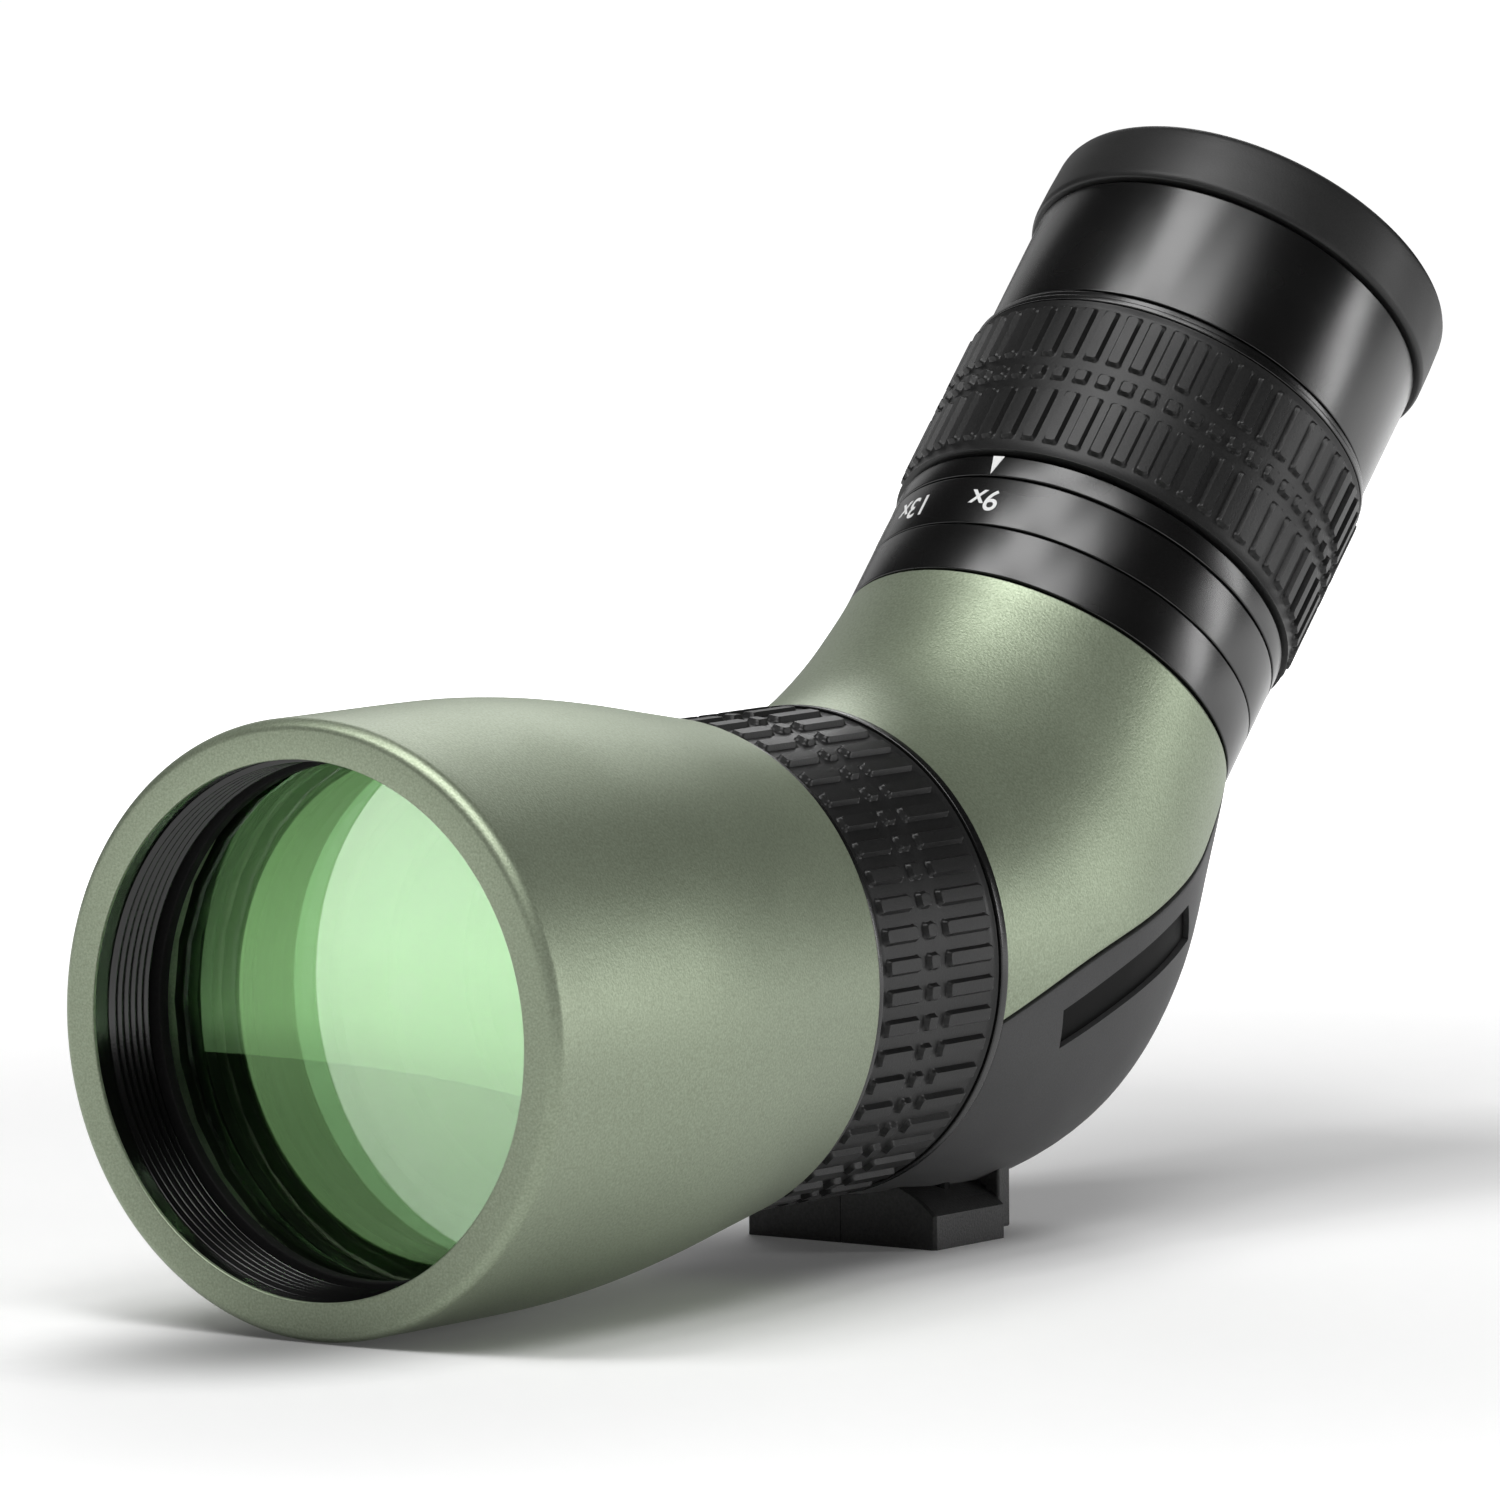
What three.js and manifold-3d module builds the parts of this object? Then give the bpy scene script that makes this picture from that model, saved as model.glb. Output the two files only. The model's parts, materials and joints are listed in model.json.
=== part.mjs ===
// Angled spotting scope with a zoom eyepiece. Millimetres, +Z up, objective looking along -Y.
// The scope rests on the bottom of its objective rim and on its tripod foot, at z = 0.
import * as THREE from "three";
import { mergeVertices } from "three/addons/utils/BufferGeometryUtils.js";
import Module from "manifold-3d";

const wasm = await Module();
wasm.setup();

// ---- Driving dimensions ----
const GAP = 0.3; // clearance between neighbouring pieces
const OUTER_FACETS = 28; // round a turned piece that is seen from outside
const INNER_FACETS = 20; // round one that is hidden inside
const AXIS_HEIGHT = 34; // optical axis above the ground, which is also the rim's radius
const LENGTH_CENTRE = 98.73; // station of the part's origin along the optical axis
const BEND_STATION = 113; // where the eyepiece axis crosses the optical axis
const EYEPIECE_TILT = THREE.MathUtils.degToRad(47.3); // the eyepiece axis above the optical axis

// Stations along the optical axis, from the front rim.
const FRONT_FACE = -0.6;
const RIM_RADIUS = AXIS_HEIGHT;
const RIM_BORE = 29.5;
const BARREL_BORE = 30.9;
const BARREL_REAR = 66;
const FOCUS_FRONT = 66.3;
const FOCUS_REAR = 91.5;
const FOCUS_LIP_RADIUS = 28;
const FOCUS_TUBE_RADIUS = 23;
const GRIP_RIBS = 50;
const LENS_FRONT = 12;
const OBJECTIVE_RADIUS = 30.4;
const CLEAR_RADIUS = 28.4;

// Stations along the eyepiece axis, from the bend.
const COLLAR_START = 34.2;
const SCALE_START = 40.65;
const ZOOM_START = 47.5;
const ZOOM_END = 74.6;
const SLEEVE_START = 75;
const CUP_START = 91.5;
const CUP_END = 99.6;
const COLLAR_RADIUS = 24.05;
const SLEEVE_RADIUS = 23.95;
const CUP_RADIUS = 24.75;
const INNER_TUBE_BORE = 17.2;
const INNER_TUBE_RADIUS = 18.6;

// Travel of the moving groups.
const FOCUS_TURN = 200; // degrees either way from the middle
const FOCUS_TRAVEL = 6; // either way
const ZOOM_TURN = 110; // from lowest to highest power
const ZOOM_FRONT_STATION = 52;
const ZOOM_FRONT_TRAVEL = 5;
const ZOOM_REAR_STATION = 70;
const ZOOM_REAR_TRAVEL = -4;
const CUP_TURN = 120;
const CUP_LIFT = 9;

// Prism housing: sections turn about a line above it, from the barrel's axis to the eyepiece's.
const BEND_CENTRE = new THREE.Vector2(91.65, 65.9);
// Each section: distance of the belly and of the neck from the bend line, and half width.
const HOUSING_SECTIONS = [
  [93.1, 38.7, 27.2],
  [96.0, 38.0, 27.4],
  [98.3, 37.3, 27.4],
  [98.4, 36.6, 27.2],
  [95.2, 36.1, 26.3],
  [89.2, 36.0, 25.1],
  [84.4, 36.3, 24.05],
];
const COVER_THICKNESS = 1.6;
const HOUSING_WALL = 3.3;
const SEAM = [
  [88, -8.2], [106, -1.8], [123, 3.2], [133, 6.9], [138, 9.8], [145, 15.5], [156, 26],
];

// Tripod foot and its thread, 1/4 inch.
const FOOT_FRONT = 97.3;
const FOOT_REAR = 111;
const FOOT_HALF_WIDTH = 13.2;
const FOOT_EDGE_HEIGHT = 3.9;
const FOOT_CENTRE = 104;
const LUG_REAR = 112.8;
const LUG_HALF_WIDTH = 12.6;
const LUG_CLEARANCE = 1.1;
const THREAD_RADIUS = 3.2;
const THREAD_DEPTH = 6;
const INSERT_RADIUS = 4.8;
const FOOT_SCREW_X = 9.2;

// ---- Materials ----
const finish = (color, roughness, metalness = 0) =>
  new THREE.MeshStandardMaterial({ color, roughness, metalness });
const paint = finish(0x8a9880, 0.45, 0.4);
const rubber = finish(0x202121, 0.75);
const anodised = finish(0x161717, 0.35, 0.6);
const blackPlastic = finish(0x1b1c1c, 0.5);
const brass = finish(0xb08d4a, 0.35, 1);
const steel = finish(0x9a9c9e, 0.3, 1);
const crown = finish(0x6fae72, 0.03);
const flint = finish(0x9fc79a, 0.03);
const clear = finish(0xcfe0da, 0.03);

// ---- Shape helpers ----
const radians = THREE.MathUtils.degToRad;

function solidOf(geometry) {
  const bare = geometry.clone();
  bare.deleteAttribute("normal");
  bare.deleteAttribute("uv");
  const merged = mergeVertices(bare, 1e-4);
  return new wasm.Manifold(new wasm.Mesh({
    numProp: 3,
    vertProperties: new Float32Array(merged.attributes.position.array),
    triVerts: new Uint32Array(merged.index.array),
  }));
}

function geometryOf(solid) {
  const mesh = solid.getMesh();
  const geometry = new THREE.BufferGeometry();
  geometry.setAttribute("position", new THREE.BufferAttribute(mesh.vertProperties, 3));
  geometry.setIndex(new THREE.BufferAttribute(mesh.triVerts, 1));
  return geometry;
}

// A ring or disc about local Y from a closed [radius, station] outline.
function turned(outline, segments = INNER_FACETS) {
  const points = outline.map(([radius, station]) => new THREE.Vector2(radius, station));
  const onAxis = points[0].x === 0;
  if (THREE.ShapeUtils.area(points) < 0) points.reverse();
  if (!onAxis) points.push(points[0].clone());
  return solidOf(new THREE.LatheGeometry(points, segments));
}

// A plain ring of rectangular section.
function ring(inner, outer, from, to, segments = INNER_FACETS) {
  return turned([[inner, from], [outer, from], [outer, to], [inner, to]], segments);
}

function disc(radius, from, to, segments = 24) {
  return solidOf(new THREE.CylinderGeometry(radius, radius, to - from, segments)
    .translate(0, (from + to) / 2, 0));
}

// A round pin standing out from local Y at an angle measured from +Z towards +X.
function radialPin(radius, station, angle, from, to, segments = 12) {
  return solidOf(new THREE.CylinderGeometry(radius, radius, to - from, segments)
    .rotateX(Math.PI / 2)
    .translate(0, 0, (from + to) / 2)
    .rotateY(angle)
    .translate(0, station, 0));
}

// A [y, z] outline drawn out along X.
function sideExtrusion(outline, fromX, toX) {
  const shape = new THREE.Shape(outline.map(([y, z]) => new THREE.Vector2(y, z)));
  const axes = new THREE.Matrix4().makeBasis(
    new THREE.Vector3(0, 1, 0),
    new THREE.Vector3(0, 0, 1),
    new THREE.Vector3(1, 0, 0),
  );
  const depth = toX - fromX;
  return solidOf(new THREE.ExtrudeGeometry(shape, { depth, bevelEnabled: false, curveSegments: 4 })
    .applyMatrix4(axes)
    .translate(fromX, 0, 0));
}

// The tool that cuts a helical slot: a round section swept about local Y.
class Helix extends THREE.Curve {
  constructor(radius, fromAngle, toAngle, fromStation, toStation) {
    super();
    Object.assign(this, { radius, fromAngle, toAngle, fromStation, toStation });
  }

  getPoint(t, target = new THREE.Vector3()) {
    const angle = THREE.MathUtils.lerp(this.fromAngle, this.toAngle, t);
    const station = THREE.MathUtils.lerp(this.fromStation, this.toStation, t);
    return target.set(this.radius * Math.sin(angle), station, this.radius * Math.cos(angle));
  }
}

function helicalCutter(radius, halfWidth, angles, stations, steps) {
  const section = new THREE.Shape(polygon(6, halfWidth));
  const extrudePath = new Helix(radius, ...angles, ...stations);
  return solidOf(new THREE.ExtrudeGeometry(section, { steps, extrudePath }));
}

function polygon(sides, radius) {
  return Array.from({ length: sides }, (_, i) => {
    const angle = (2 * Math.PI * i) / sides;
    return new THREE.Vector2(radius * Math.cos(angle), radius * Math.sin(angle));
  });
}

// A rubber sleeve with lengthwise ribs round it.
function ribbedSleeve(bore, baseRadius, ribRadius, from, to) {
  const pitch = (2 * Math.PI) / GRIP_RIBS;
  const corners = [[0, baseRadius], [0.25, ribRadius], [0.75, ribRadius]];
  const outline = [];
  for (let rib = 0; rib < GRIP_RIBS; rib += 1) {
    for (const [share, radius] of corners) {
      const angle = (rib + share) * pitch;
      outline.push(new THREE.Vector2(radius * Math.cos(angle), radius * Math.sin(angle)));
    }
  }
  const shape = new THREE.Shape(outline);
  shape.holes.push(new THREE.Path(polygon(GRIP_RIBS, bore)));
  return solidOf(new THREE.ExtrudeGeometry(shape, { depth: to - from, bevelEnabled: false })
    .rotateX(-Math.PI / 2)
    .translate(0, from, 0));
}

// ---- Objective ----
const barrelTaper = new THREE.SplineCurve([
  new THREE.Vector2(RIM_RADIUS, 1.4),
  new THREE.Vector2(33.95, 14),
  new THREE.Vector2(33.9, 25),
  new THREE.Vector2(33.2, 37),
  new THREE.Vector2(31.6, 49),
  new THREE.Vector2(29.7, 59),
  new THREE.Vector2(28.4, BARREL_REAR),
]);

function makeBarrelShell() {
  const outside = barrelTaper.getPoints(7).map((point) => [point.x, point.y]);
  return turned([
    [RIM_BORE, FRONT_FACE + 0.3],
    [RIM_BORE + 0.3, FRONT_FACE],
    [32.4, FRONT_FACE],
    [33.5, -0.1],
    ...outside,
    [26.9, BARREL_REAR],
    [BARREL_BORE - 1.9, 46],
    [BARREL_BORE - 0.4, 36],
    [BARREL_BORE - 0.4, 26.5],
    [CLEAR_RADIUS + 0.2, 26.5],
    [CLEAR_RADIUS + 0.2, 23.4],
    [BARREL_BORE, 23.4],
    [BARREL_BORE, 1],
    [RIM_BORE, 1],
  ], OUTER_FACETS);
}

function makeFilterThreadSleeve() {
  const ridges = [2.5, 3.9, 4.95, 6, 7.3, 8.45];
  const inside = ridges.flatMap((station) => [[29.35, station - 0.5], [28.95, station]]);
  const rest = [[30.6, 1.3], [30.6, 9.4], [29.35, 9.4]];
  return turned([...rest, ...inside.reverse(), [29.35, 1.3]], OUTER_FACETS);
}

function makeRetainingRing() {
  const body = turned([
    [CLEAR_RADIUS, 9.7], [30.6, 9.7], [30.6, 10], [29.4, 10],
    [29.4, 11], [30.6, 11], [30.6, 11.3], [CLEAR_RADIUS, 11.3],
  ], OUTER_FACETS);
  const slots = [0, Math.PI].map((angle) =>
    solidOf(new THREE.BoxGeometry(2.4, 0.9, 1).translate(0, 9.85, 28.5).rotateY(angle)));
  return body.subtract(wasm.Manifold.union(slots));
}

function makeObjectiveSeal() {
  return solidOf(new THREE.TorusGeometry(30.1, 0.3, 6, OUTER_FACETS).rotateX(Math.PI / 2)
    .translate(0, 10.5, 0));
}

// A lens from the axis out: each face is an arc of the given bulge, positive towards the front.
function lens(radius, frontEdge, rearEdge, frontBulge, rearBulge, segments = INNER_FACETS) {
  const steps = 2;
  const face = (edge, bulge) => Array.from({ length: steps + 1 }, (_, i) => {
    const share = i / steps;
    return [radius * share, edge - bulge * (1 - share * share)];
  });
  const front = face(frontEdge, frontBulge);
  const rear = face(rearEdge, rearBulge);
  return turned([...front, ...rear.reverse()], segments);
}

const makeCrownLens = () => lens(OBJECTIVE_RADIUS, LENS_FRONT, 14.5, 0.8, -3.6, OUTER_FACETS);
const makeObjectiveSpacer = () => ring(29.2, OBJECTIVE_RADIUS, 14.8, 15.6, OUTER_FACETS);
const makeFlintLens = () => lens(OBJECTIVE_RADIUS, 15.9, 23.1, -3.6, 0.8, OUTER_FACETS);

function makeLightBaffle() {
  const inside = [];
  for (let i = 0; i < 3; i += 1) {
    const station = 28.4 + i * 9;
    const radius = 27.4 - i * 1.1;
    inside.push([radius, station], [radius - 1.2, station + 0.4], [radius - 0.2, station + 1]);
  }
  return turned([
    [30.1, 27.4], [30.1, 28.6], [28.4, 28.6], [24.9, 58.4], [23.6, 58.4],
    ...inside.reverse(), [27.4, 27.4],
  ]);
}

// ---- Focus section ----
const PIN_RADIUS = 1.2;
const FOCUS_PIN_STATION = 79;

function makeFocusGuideTube() {
  const body = turned([
    [21, 59], [26.6, 59], [26.6, 62.5], [FOCUS_TUBE_RADIUS, 62.5],
    [FOCUS_TUBE_RADIUS, 99], [21, 99],
  ]);
  const slotLength = 2 * (FOCUS_TRAVEL + PIN_RADIUS + 0.4);
  const slot = new THREE.BoxGeometry(3.2, slotLength, 5).translate(0, FOCUS_PIN_STATION, 22);
  return body.subtract(solidOf(slot));
}

function makeFocusRing() {
  const body = turned([
    [23.3, FOCUS_FRONT], [27.6, FOCUS_FRONT], [FOCUS_LIP_RADIUS, FOCUS_FRONT + 0.4],
    [FOCUS_LIP_RADIUS, 67.3], [26, 67.3], [26, 90.2],
    [27.8, 90.2], [27.8, FOCUS_REAR - 0.4], [27.5, FOCUS_REAR], [23.3, FOCUS_REAR],
  ], OUTER_FACETS);
  const groove = helicalCutter(
    23.9,
    PIN_RADIUS + 0.6,
    [radians(FOCUS_TURN + 4), radians(-FOCUS_TURN - 4)],
    [FOCUS_PIN_STATION - FOCUS_TRAVEL, FOCUS_PIN_STATION + FOCUS_TRAVEL],
    24,
  );
  return body.subtract(groove);
}

const makeFocusGrip = () => ribbedSleeve(26.3, 27.3, 27.9, 67.6, 89.9);

function makeFocusCell() {
  return turned([
    [20.7, 74], [20.7, 84], [17.8, 84], [17.8, 82.5], [19.5, 82.5], [19.5, 74],
  ]);
}

const makeFocusLens = () => lens(19.2, 78.6, 82.2, -1.4, 1.2);
const makeFocusRetainer = () => ring(17.6, 19.2, 76.2, 78.2);
const makeFocusPin = () => radialPin(PIN_RADIUS, FOCUS_PIN_STATION, 0, 21, 24.2);

// ---- Prism housing ----
const housingProfile = new THREE.CatmullRomCurve3(
  HOUSING_SECTIONS.map((section) => new THREE.Vector3(...section)),
);

// The housing's outer shape moved inwards by inset, between two shares of the bend.
function housingShape(inset, fromShare, toShare) {
  const sections = 8;
  const sides = 28;
  const positions = [];
  for (let i = 0; i <= sections; i += 1) {
    const share = THREE.MathUtils.lerp(fromShare, toShare, i / sections);
    const size = housingProfile.getPoint(THREE.MathUtils.clamp(share, 0, 1));
    const turn = share * EYEPIECE_TILT;
    const middle = (size.x + size.y) / 2;
    const halfHeight = (size.x - size.y) / 2 - inset;
    const halfWidth = size.z - inset;
    for (let j = 0; j < sides; j += 1) {
      const angle = (2 * Math.PI * j) / sides;
      const reach = middle + halfHeight * Math.cos(angle);
      positions.push(
        halfWidth * Math.sin(angle),
        BEND_CENTRE.x + reach * Math.sin(turn),
        BEND_CENTRE.y - reach * Math.cos(turn),
      );
    }
  }
  const index = [];
  for (let i = 0; i < sections; i += 1) {
    for (let j = 0; j < sides; j += 1) {
      const a = i * sides + j;
      const b = i * sides + ((j + 1) % sides);
      index.push(a, b + sides, b, a, a + sides, b + sides);
    }
  }
  const last = sections * sides;
  for (let j = 1; j < sides - 1; j += 1) {
    index.push(0, j, j + 1, last, last + j + 1, last + j);
  }
  const geometry = new THREE.BufferGeometry();
  geometry.setAttribute("position", new THREE.Float32BufferAttribute(positions, 3));
  geometry.setIndex(index);
  return solidOf(geometry);
}

// Everything below the seam between the painted body and its rubber cover, raised by lift.
function belowSeam(lift) {
  const seam = new THREE.SplineCurve(SEAM.map(([y, z]) => new THREE.Vector2(y, z + lift)));
  const line = seam.getPoints(18).map((point) => [point.x, point.y]);
  return sideExtrusion([...line, [170, -60], [88, -60]], -40, 40);
}

// The foot with its slanted sides, cut corners and rear lug, grown by margin.
function footShape(margin, top) {
  const half = FOOT_HALF_WIDTH + margin;
  const front = FOOT_FRONT - margin;
  const rear = FOOT_REAR + margin;
  const floor = -AXIS_HEIGHT - margin;
  const edge = floor + FOOT_EDGE_HEIGHT + 2 * margin;
  const face = new THREE.Shape([
    new THREE.Vector2(-half, floor), new THREE.Vector2(half, floor),
    new THREE.Vector2(half, edge), new THREE.Vector2(half - 5.6, edge + 3.6),
    new THREE.Vector2(half - 5.6, top), new THREE.Vector2(-half + 5.6, top),
    new THREE.Vector2(-half + 5.6, edge + 3.6), new THREE.Vector2(-half, edge),
  ]);
  const block = solidOf(new THREE.ExtrudeGeometry(face, {
    depth: rear - front,
    bevelEnabled: false,
  }).rotateX(Math.PI / 2).translate(0, rear, 0));
  const corner = 1;
  const plan = new THREE.Shape([
    new THREE.Vector2(-half + corner, front), new THREE.Vector2(half - corner, front),
    new THREE.Vector2(half, front + corner), new THREE.Vector2(half, rear - corner),
    new THREE.Vector2(half - corner, rear), new THREE.Vector2(-half + corner, rear),
    new THREE.Vector2(-half, rear - corner), new THREE.Vector2(-half, front + corner),
  ]);
  const outline = solidOf(new THREE.ExtrudeGeometry(plan, { depth: 60, bevelEnabled: false })
    .translate(0, 0, -50));
  return block.intersect(outline).add(rearLug(margin, top));
}

// The upright rib behind the foot, clear of the ground, grown by margin.
function rearLug(margin, top) {
  const low = -AXIS_HEIGHT + LUG_CLEARANCE - margin;
  const front = FOOT_REAR - 2;
  const rear = LUG_REAR + margin;
  return solidOf(new THREE.BoxGeometry(2 * (LUG_HALF_WIDTH + margin), rear - front, top - low)
    .translate(0, (front + rear) / 2, (top + low) / 2));
}

function uprightPin(radius, x, y, from, to, segments = 12) {
  return solidOf(new THREE.CylinderGeometry(radius, radius, to - from, segments)
    .rotateX(Math.PI / 2)
    .translate(x, y, (from + to) / 2));
}

// The name plate's slanted outline on the +X flank, shrunk by margin.
function platePrism(margin) {
  const centre = new THREE.Vector2(118.2, -4.1);
  const slope = radians(20.5);
  const along = new THREE.Vector2(Math.cos(slope), Math.sin(slope));
  const across = new THREE.Vector2(-along.y, along.x);
  const halfLength = 13.8 - margin;
  const halfHeight = 1.5 - margin;
  const signs = [[-1, -1], [1, -1], [1, 1], [-1, 1]];
  const outline = signs.map(([a, b]) => {
    const corner = centre.clone().addScaledVector(along, a * halfLength)
      .addScaledVector(across, b * halfHeight);
    return [corner.x, corner.y];
  });
  return sideExtrusion(outline, 10, 40);
}

const housingOuter = housingShape(0, 0.004, 0.994);
const housingUnderCover = housingShape(COVER_THICKNESS + GAP, 0.004, 0.994);
const coverInside = housingShape(COVER_THICKNESS, -0.05, 1.05);
const footScrewSides = [["left", -FOOT_SCREW_X], ["right", FOOT_SCREW_X]];

function makePrismHousing() {
  const cavity = housingShape(HOUSING_WALL, 0.14, 1.05);
  const frontBore = disc(FOCUS_TUBE_RADIUS + GAP, 88, 102);
  const screwHoles = footScrewSides.map(([, x]) => uprightPin(1.3, x, FOOT_CENTRE, -40, -20));
  return housingOuter.subtract(belowSeam(GAP / 2))
    .add(housingUnderCover)
    .subtract(wasm.Manifold.union([cavity, frontBore, ...screwHoles]));
}

function makeBellyCover() {
  const screwHoles = footScrewSides.map(([, x]) => uprightPin(1.4, x, FOOT_CENTRE, -40, -20));
  return housingOuter.subtract(coverInside)
    .intersect(belowSeam(-GAP / 2))
    .subtract(wasm.Manifold.union([footShape(GAP, -18), platePrism(0), ...screwHoles]));
}

function makeNamePlate() {
  const band = housingShape(0.9, 0.004, 0.994).subtract(coverInside);
  return band.intersect(platePrism(GAP));
}

function makeTripodFoot() {
  const screwHoles = footScrewSides.flatMap(([, x]) => [
    uprightPin(1.3, x, FOOT_CENTRE, -40, -20),
    uprightPin(2.5, x, FOOT_CENTRE, -40, -AXIS_HEIGHT + 2.4),
  ]);
  const insertHole = uprightPin(INSERT_RADIUS + GAP, 0, FOOT_CENTRE, -40, -AXIS_HEIGHT + 6.2, 24);
  return footShape(0, -18)
    .subtract(housingShape(COVER_THICKNESS, 0, 1))
    .subtract(wasm.Manifold.union([...screwHoles, insertHole]));
}

function makeThreadInsert() {
  const base = -AXIS_HEIGHT + 0.2;
  return uprightPin(INSERT_RADIUS, 0, FOOT_CENTRE, base, base + 5.6, 24)
    .subtract(uprightPin(THREAD_RADIUS, 0, FOOT_CENTRE, base - 1, base + THREAD_DEPTH, 24));
}

function makeFootScrew(x) {
  const base = -AXIS_HEIGHT + 0.4;
  const socket = solidOf(new THREE.CylinderGeometry(0.9, 0.9, 1.2, 6)
    .rotateX(Math.PI / 2).translate(x, FOOT_CENTRE, base));
  return uprightPin(2.2, x, FOOT_CENTRE, base, base + 1.7)
    .add(uprightPin(1, x, FOOT_CENTRE, base, base + 7.5))
    .subtract(socket);
}

// Roof prism: its entrance faces the objective and its exit faces the eyepiece.
const PRISM_TOP = new THREE.Vector2(104.5, 15.5);
const PRISM_SIDE = 29;
const PRISM_HALF_WIDTH = 13.5;
const exitRun = new THREE.Vector2(Math.sin(EYEPIECE_TILT), -Math.cos(EYEPIECE_TILT));

// The prism's side outline with its roof side moved outwards by below.
function prismOutline(below) {
  const side = PRISM_SIDE + below;
  return [
    [PRISM_TOP.x, PRISM_TOP.y],
    [PRISM_TOP.x, PRISM_TOP.y - side],
    [PRISM_TOP.x + exitRun.x * side, PRISM_TOP.y + exitRun.y * side],
  ];
}

const makeRoofPrism = () => sideExtrusion(prismOutline(0), -PRISM_HALF_WIDTH, PRISM_HALF_WIDTH);

function makePrismBracket() {
  const outer = PRISM_HALF_WIDTH + 2.2;
  const inner = PRISM_HALF_WIDTH + GAP;
  const cheeks = sideExtrusion(prismOutline(2.2), -outer, outer);
  const room = sideExtrusion(prismOutline(0.4), -inner, inner);
  const screwHoles = clampSides.map(([, x]) => clampPin(0.8, x, -5, 2));
  return cheeks.subtract(wasm.Manifold.union([room, ...screwHoles]));
}

// The clamp lies across the exit face near the prism's top edge.
const CLAMP_RUN = 5;
const clampSides = [["left", -PRISM_HALF_WIDTH - 1.25], ["right", PRISM_HALF_WIDTH + 1.25]];

function onExitFace(geometry) {
  return geometry.rotateX(EYEPIECE_TILT - Math.PI / 2).translate(
    0,
    PRISM_TOP.x + exitRun.x * CLAMP_RUN,
    PRISM_TOP.y + exitRun.y * CLAMP_RUN,
  );
}

function clampPin(radius, x, from, to) {
  return solidOf(onExitFace(new THREE.CylinderGeometry(radius, radius, to - from, 12)
    .rotateX(Math.PI / 2).translate(x, 0, (from + to) / 2)));
}

function makePrismClamp() {
  const strip = solidOf(onExitFace(new THREE.BoxGeometry(31, 4, 0.7).translate(0, 0, 0.75)));
  return strip.subtract(wasm.Manifold.union(clampSides.map(([, x]) => clampPin(0.8, x, -1, 3))));
}

function makeClampScrew(x) {
  return clampPin(1.3, x, 1.4, 2.3).add(clampPin(0.5, x, -4, 2));
}

// ---- Eyepiece, in its own frame: local Y is the eyepiece axis, stations from the bend ----
function makeEyepieceCollar() {
  return turned([
    [20.6, COLLAR_START], [23.9, COLLAR_START], [COLLAR_RADIUS, COLLAR_START + 0.2],
    [COLLAR_RADIUS, 40.35], [20.6, 40.35],
  ], OUTER_FACETS);
}

function makeScaleRing() {
  return turned([
    [20.6, SCALE_START], [23.85, SCALE_START], [COLLAR_RADIUS, SCALE_START + 0.2],
    [COLLAR_RADIUS, 47.2], [20.6, 47.2],
  ], OUTER_FACETS);
}

const FRONT_PIN_ANGLE = Math.PI / 2;
const REAR_PIN_ANGLE = -Math.PI / 2;
const zoomGroups = [
  [ZOOM_FRONT_STATION, ZOOM_FRONT_TRAVEL, FRONT_PIN_ANGLE],
  [ZOOM_REAR_STATION, ZOOM_REAR_TRAVEL, REAR_PIN_ANGLE],
];

function makeEyepieceTube() {
  const body = turned([
    [INNER_TUBE_BORE, 31], [20.3, 31], [20.3, 47.2], [INNER_TUBE_RADIUS, 47.2],
    [INNER_TUBE_RADIUS, 89], [INNER_TUBE_BORE, 89],
    [INNER_TUBE_BORE, 80], [15.8, 80], [15.8, 78.6], [INNER_TUBE_BORE, 78.6],
  ], 32);
  const slots = zoomGroups.map(([station, travel, angle]) => {
    const length = Math.abs(travel) + 2 * PIN_RADIUS + 0.8;
    return solidOf(new THREE.BoxGeometry(3.2, length, 4)
      .translate(0, station + travel / 2, 17.9)
      .rotateY(angle));
  });
  return body.subtract(wasm.Manifold.union(slots));
}

function makeZoomCamTube() {
  const slots = zoomGroups.map(([station, travel, angle]) => {
    const spare = radians(4);
    const angles = [angle - spare, angle + radians(ZOOM_TURN) + spare];
    return helicalCutter(19.6, PIN_RADIUS + 0.5, angles, [station, station + travel], 7);
  });
  return ring(18.95, 20.2, ZOOM_START, 73.5, 32).subtract(wasm.Manifold.union(slots));
}

function makeZoomRing() {
  const body = turned([
    [20.6, ZOOM_START], [23.9, ZOOM_START], [24.1, ZOOM_START + 0.2], [24.1, 51.2],
    [22.9, 51.2], [22.9, 73.1], [24.6, 73.1], [24.6, ZOOM_END - 0.3],
    [24.3, ZOOM_END], [20.6, ZOOM_END],
  ], OUTER_FACETS);
  return body.subtract(radialPin(1.2, 49.3, Math.PI, 18, 26));
}

const makeZoomDriveScrew = () => radialPin(0.9, 49.3, Math.PI, 20.6, 23.4, 12);

const makeZoomGrip = () => ribbedSleeve(23.2, 24.35, 24.98, 51.5, 72.8);

function makeZoomCell(station) {
  return turned([
    [16.9, station - 3], [16.9, station + 3], [14.2, station + 3],
    [14.2, station + 1.8], [15.8, station + 1.8], [15.8, station - 3],
  ]);
}

const makeZoomLens = (station, frontBulge, rearBulge) =>
  lens(15.4, station - 1.6, station + 1.4, frontBulge, rearBulge);
const makeZoomPin = ([station, , angle]) =>
  radialPin(PIN_RADIUS, station, angle, INNER_TUBE_BORE, 20.2);
const makeFieldStop = () =>
  turned([[16.9, 33], [16.9, 34.6], [11.4, 34.2], [11.2, 33.8], [14, 33]]);
const makeEyeLens = () => lens(16.8, 80.9, 84.5, 2, -2.2);
const makeEyeLensRetainer = () =>
  turned([[14.2, 85.2], [16.8, 85.2], [16.8, 87.6], [15.6, 87.6]]);

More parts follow.
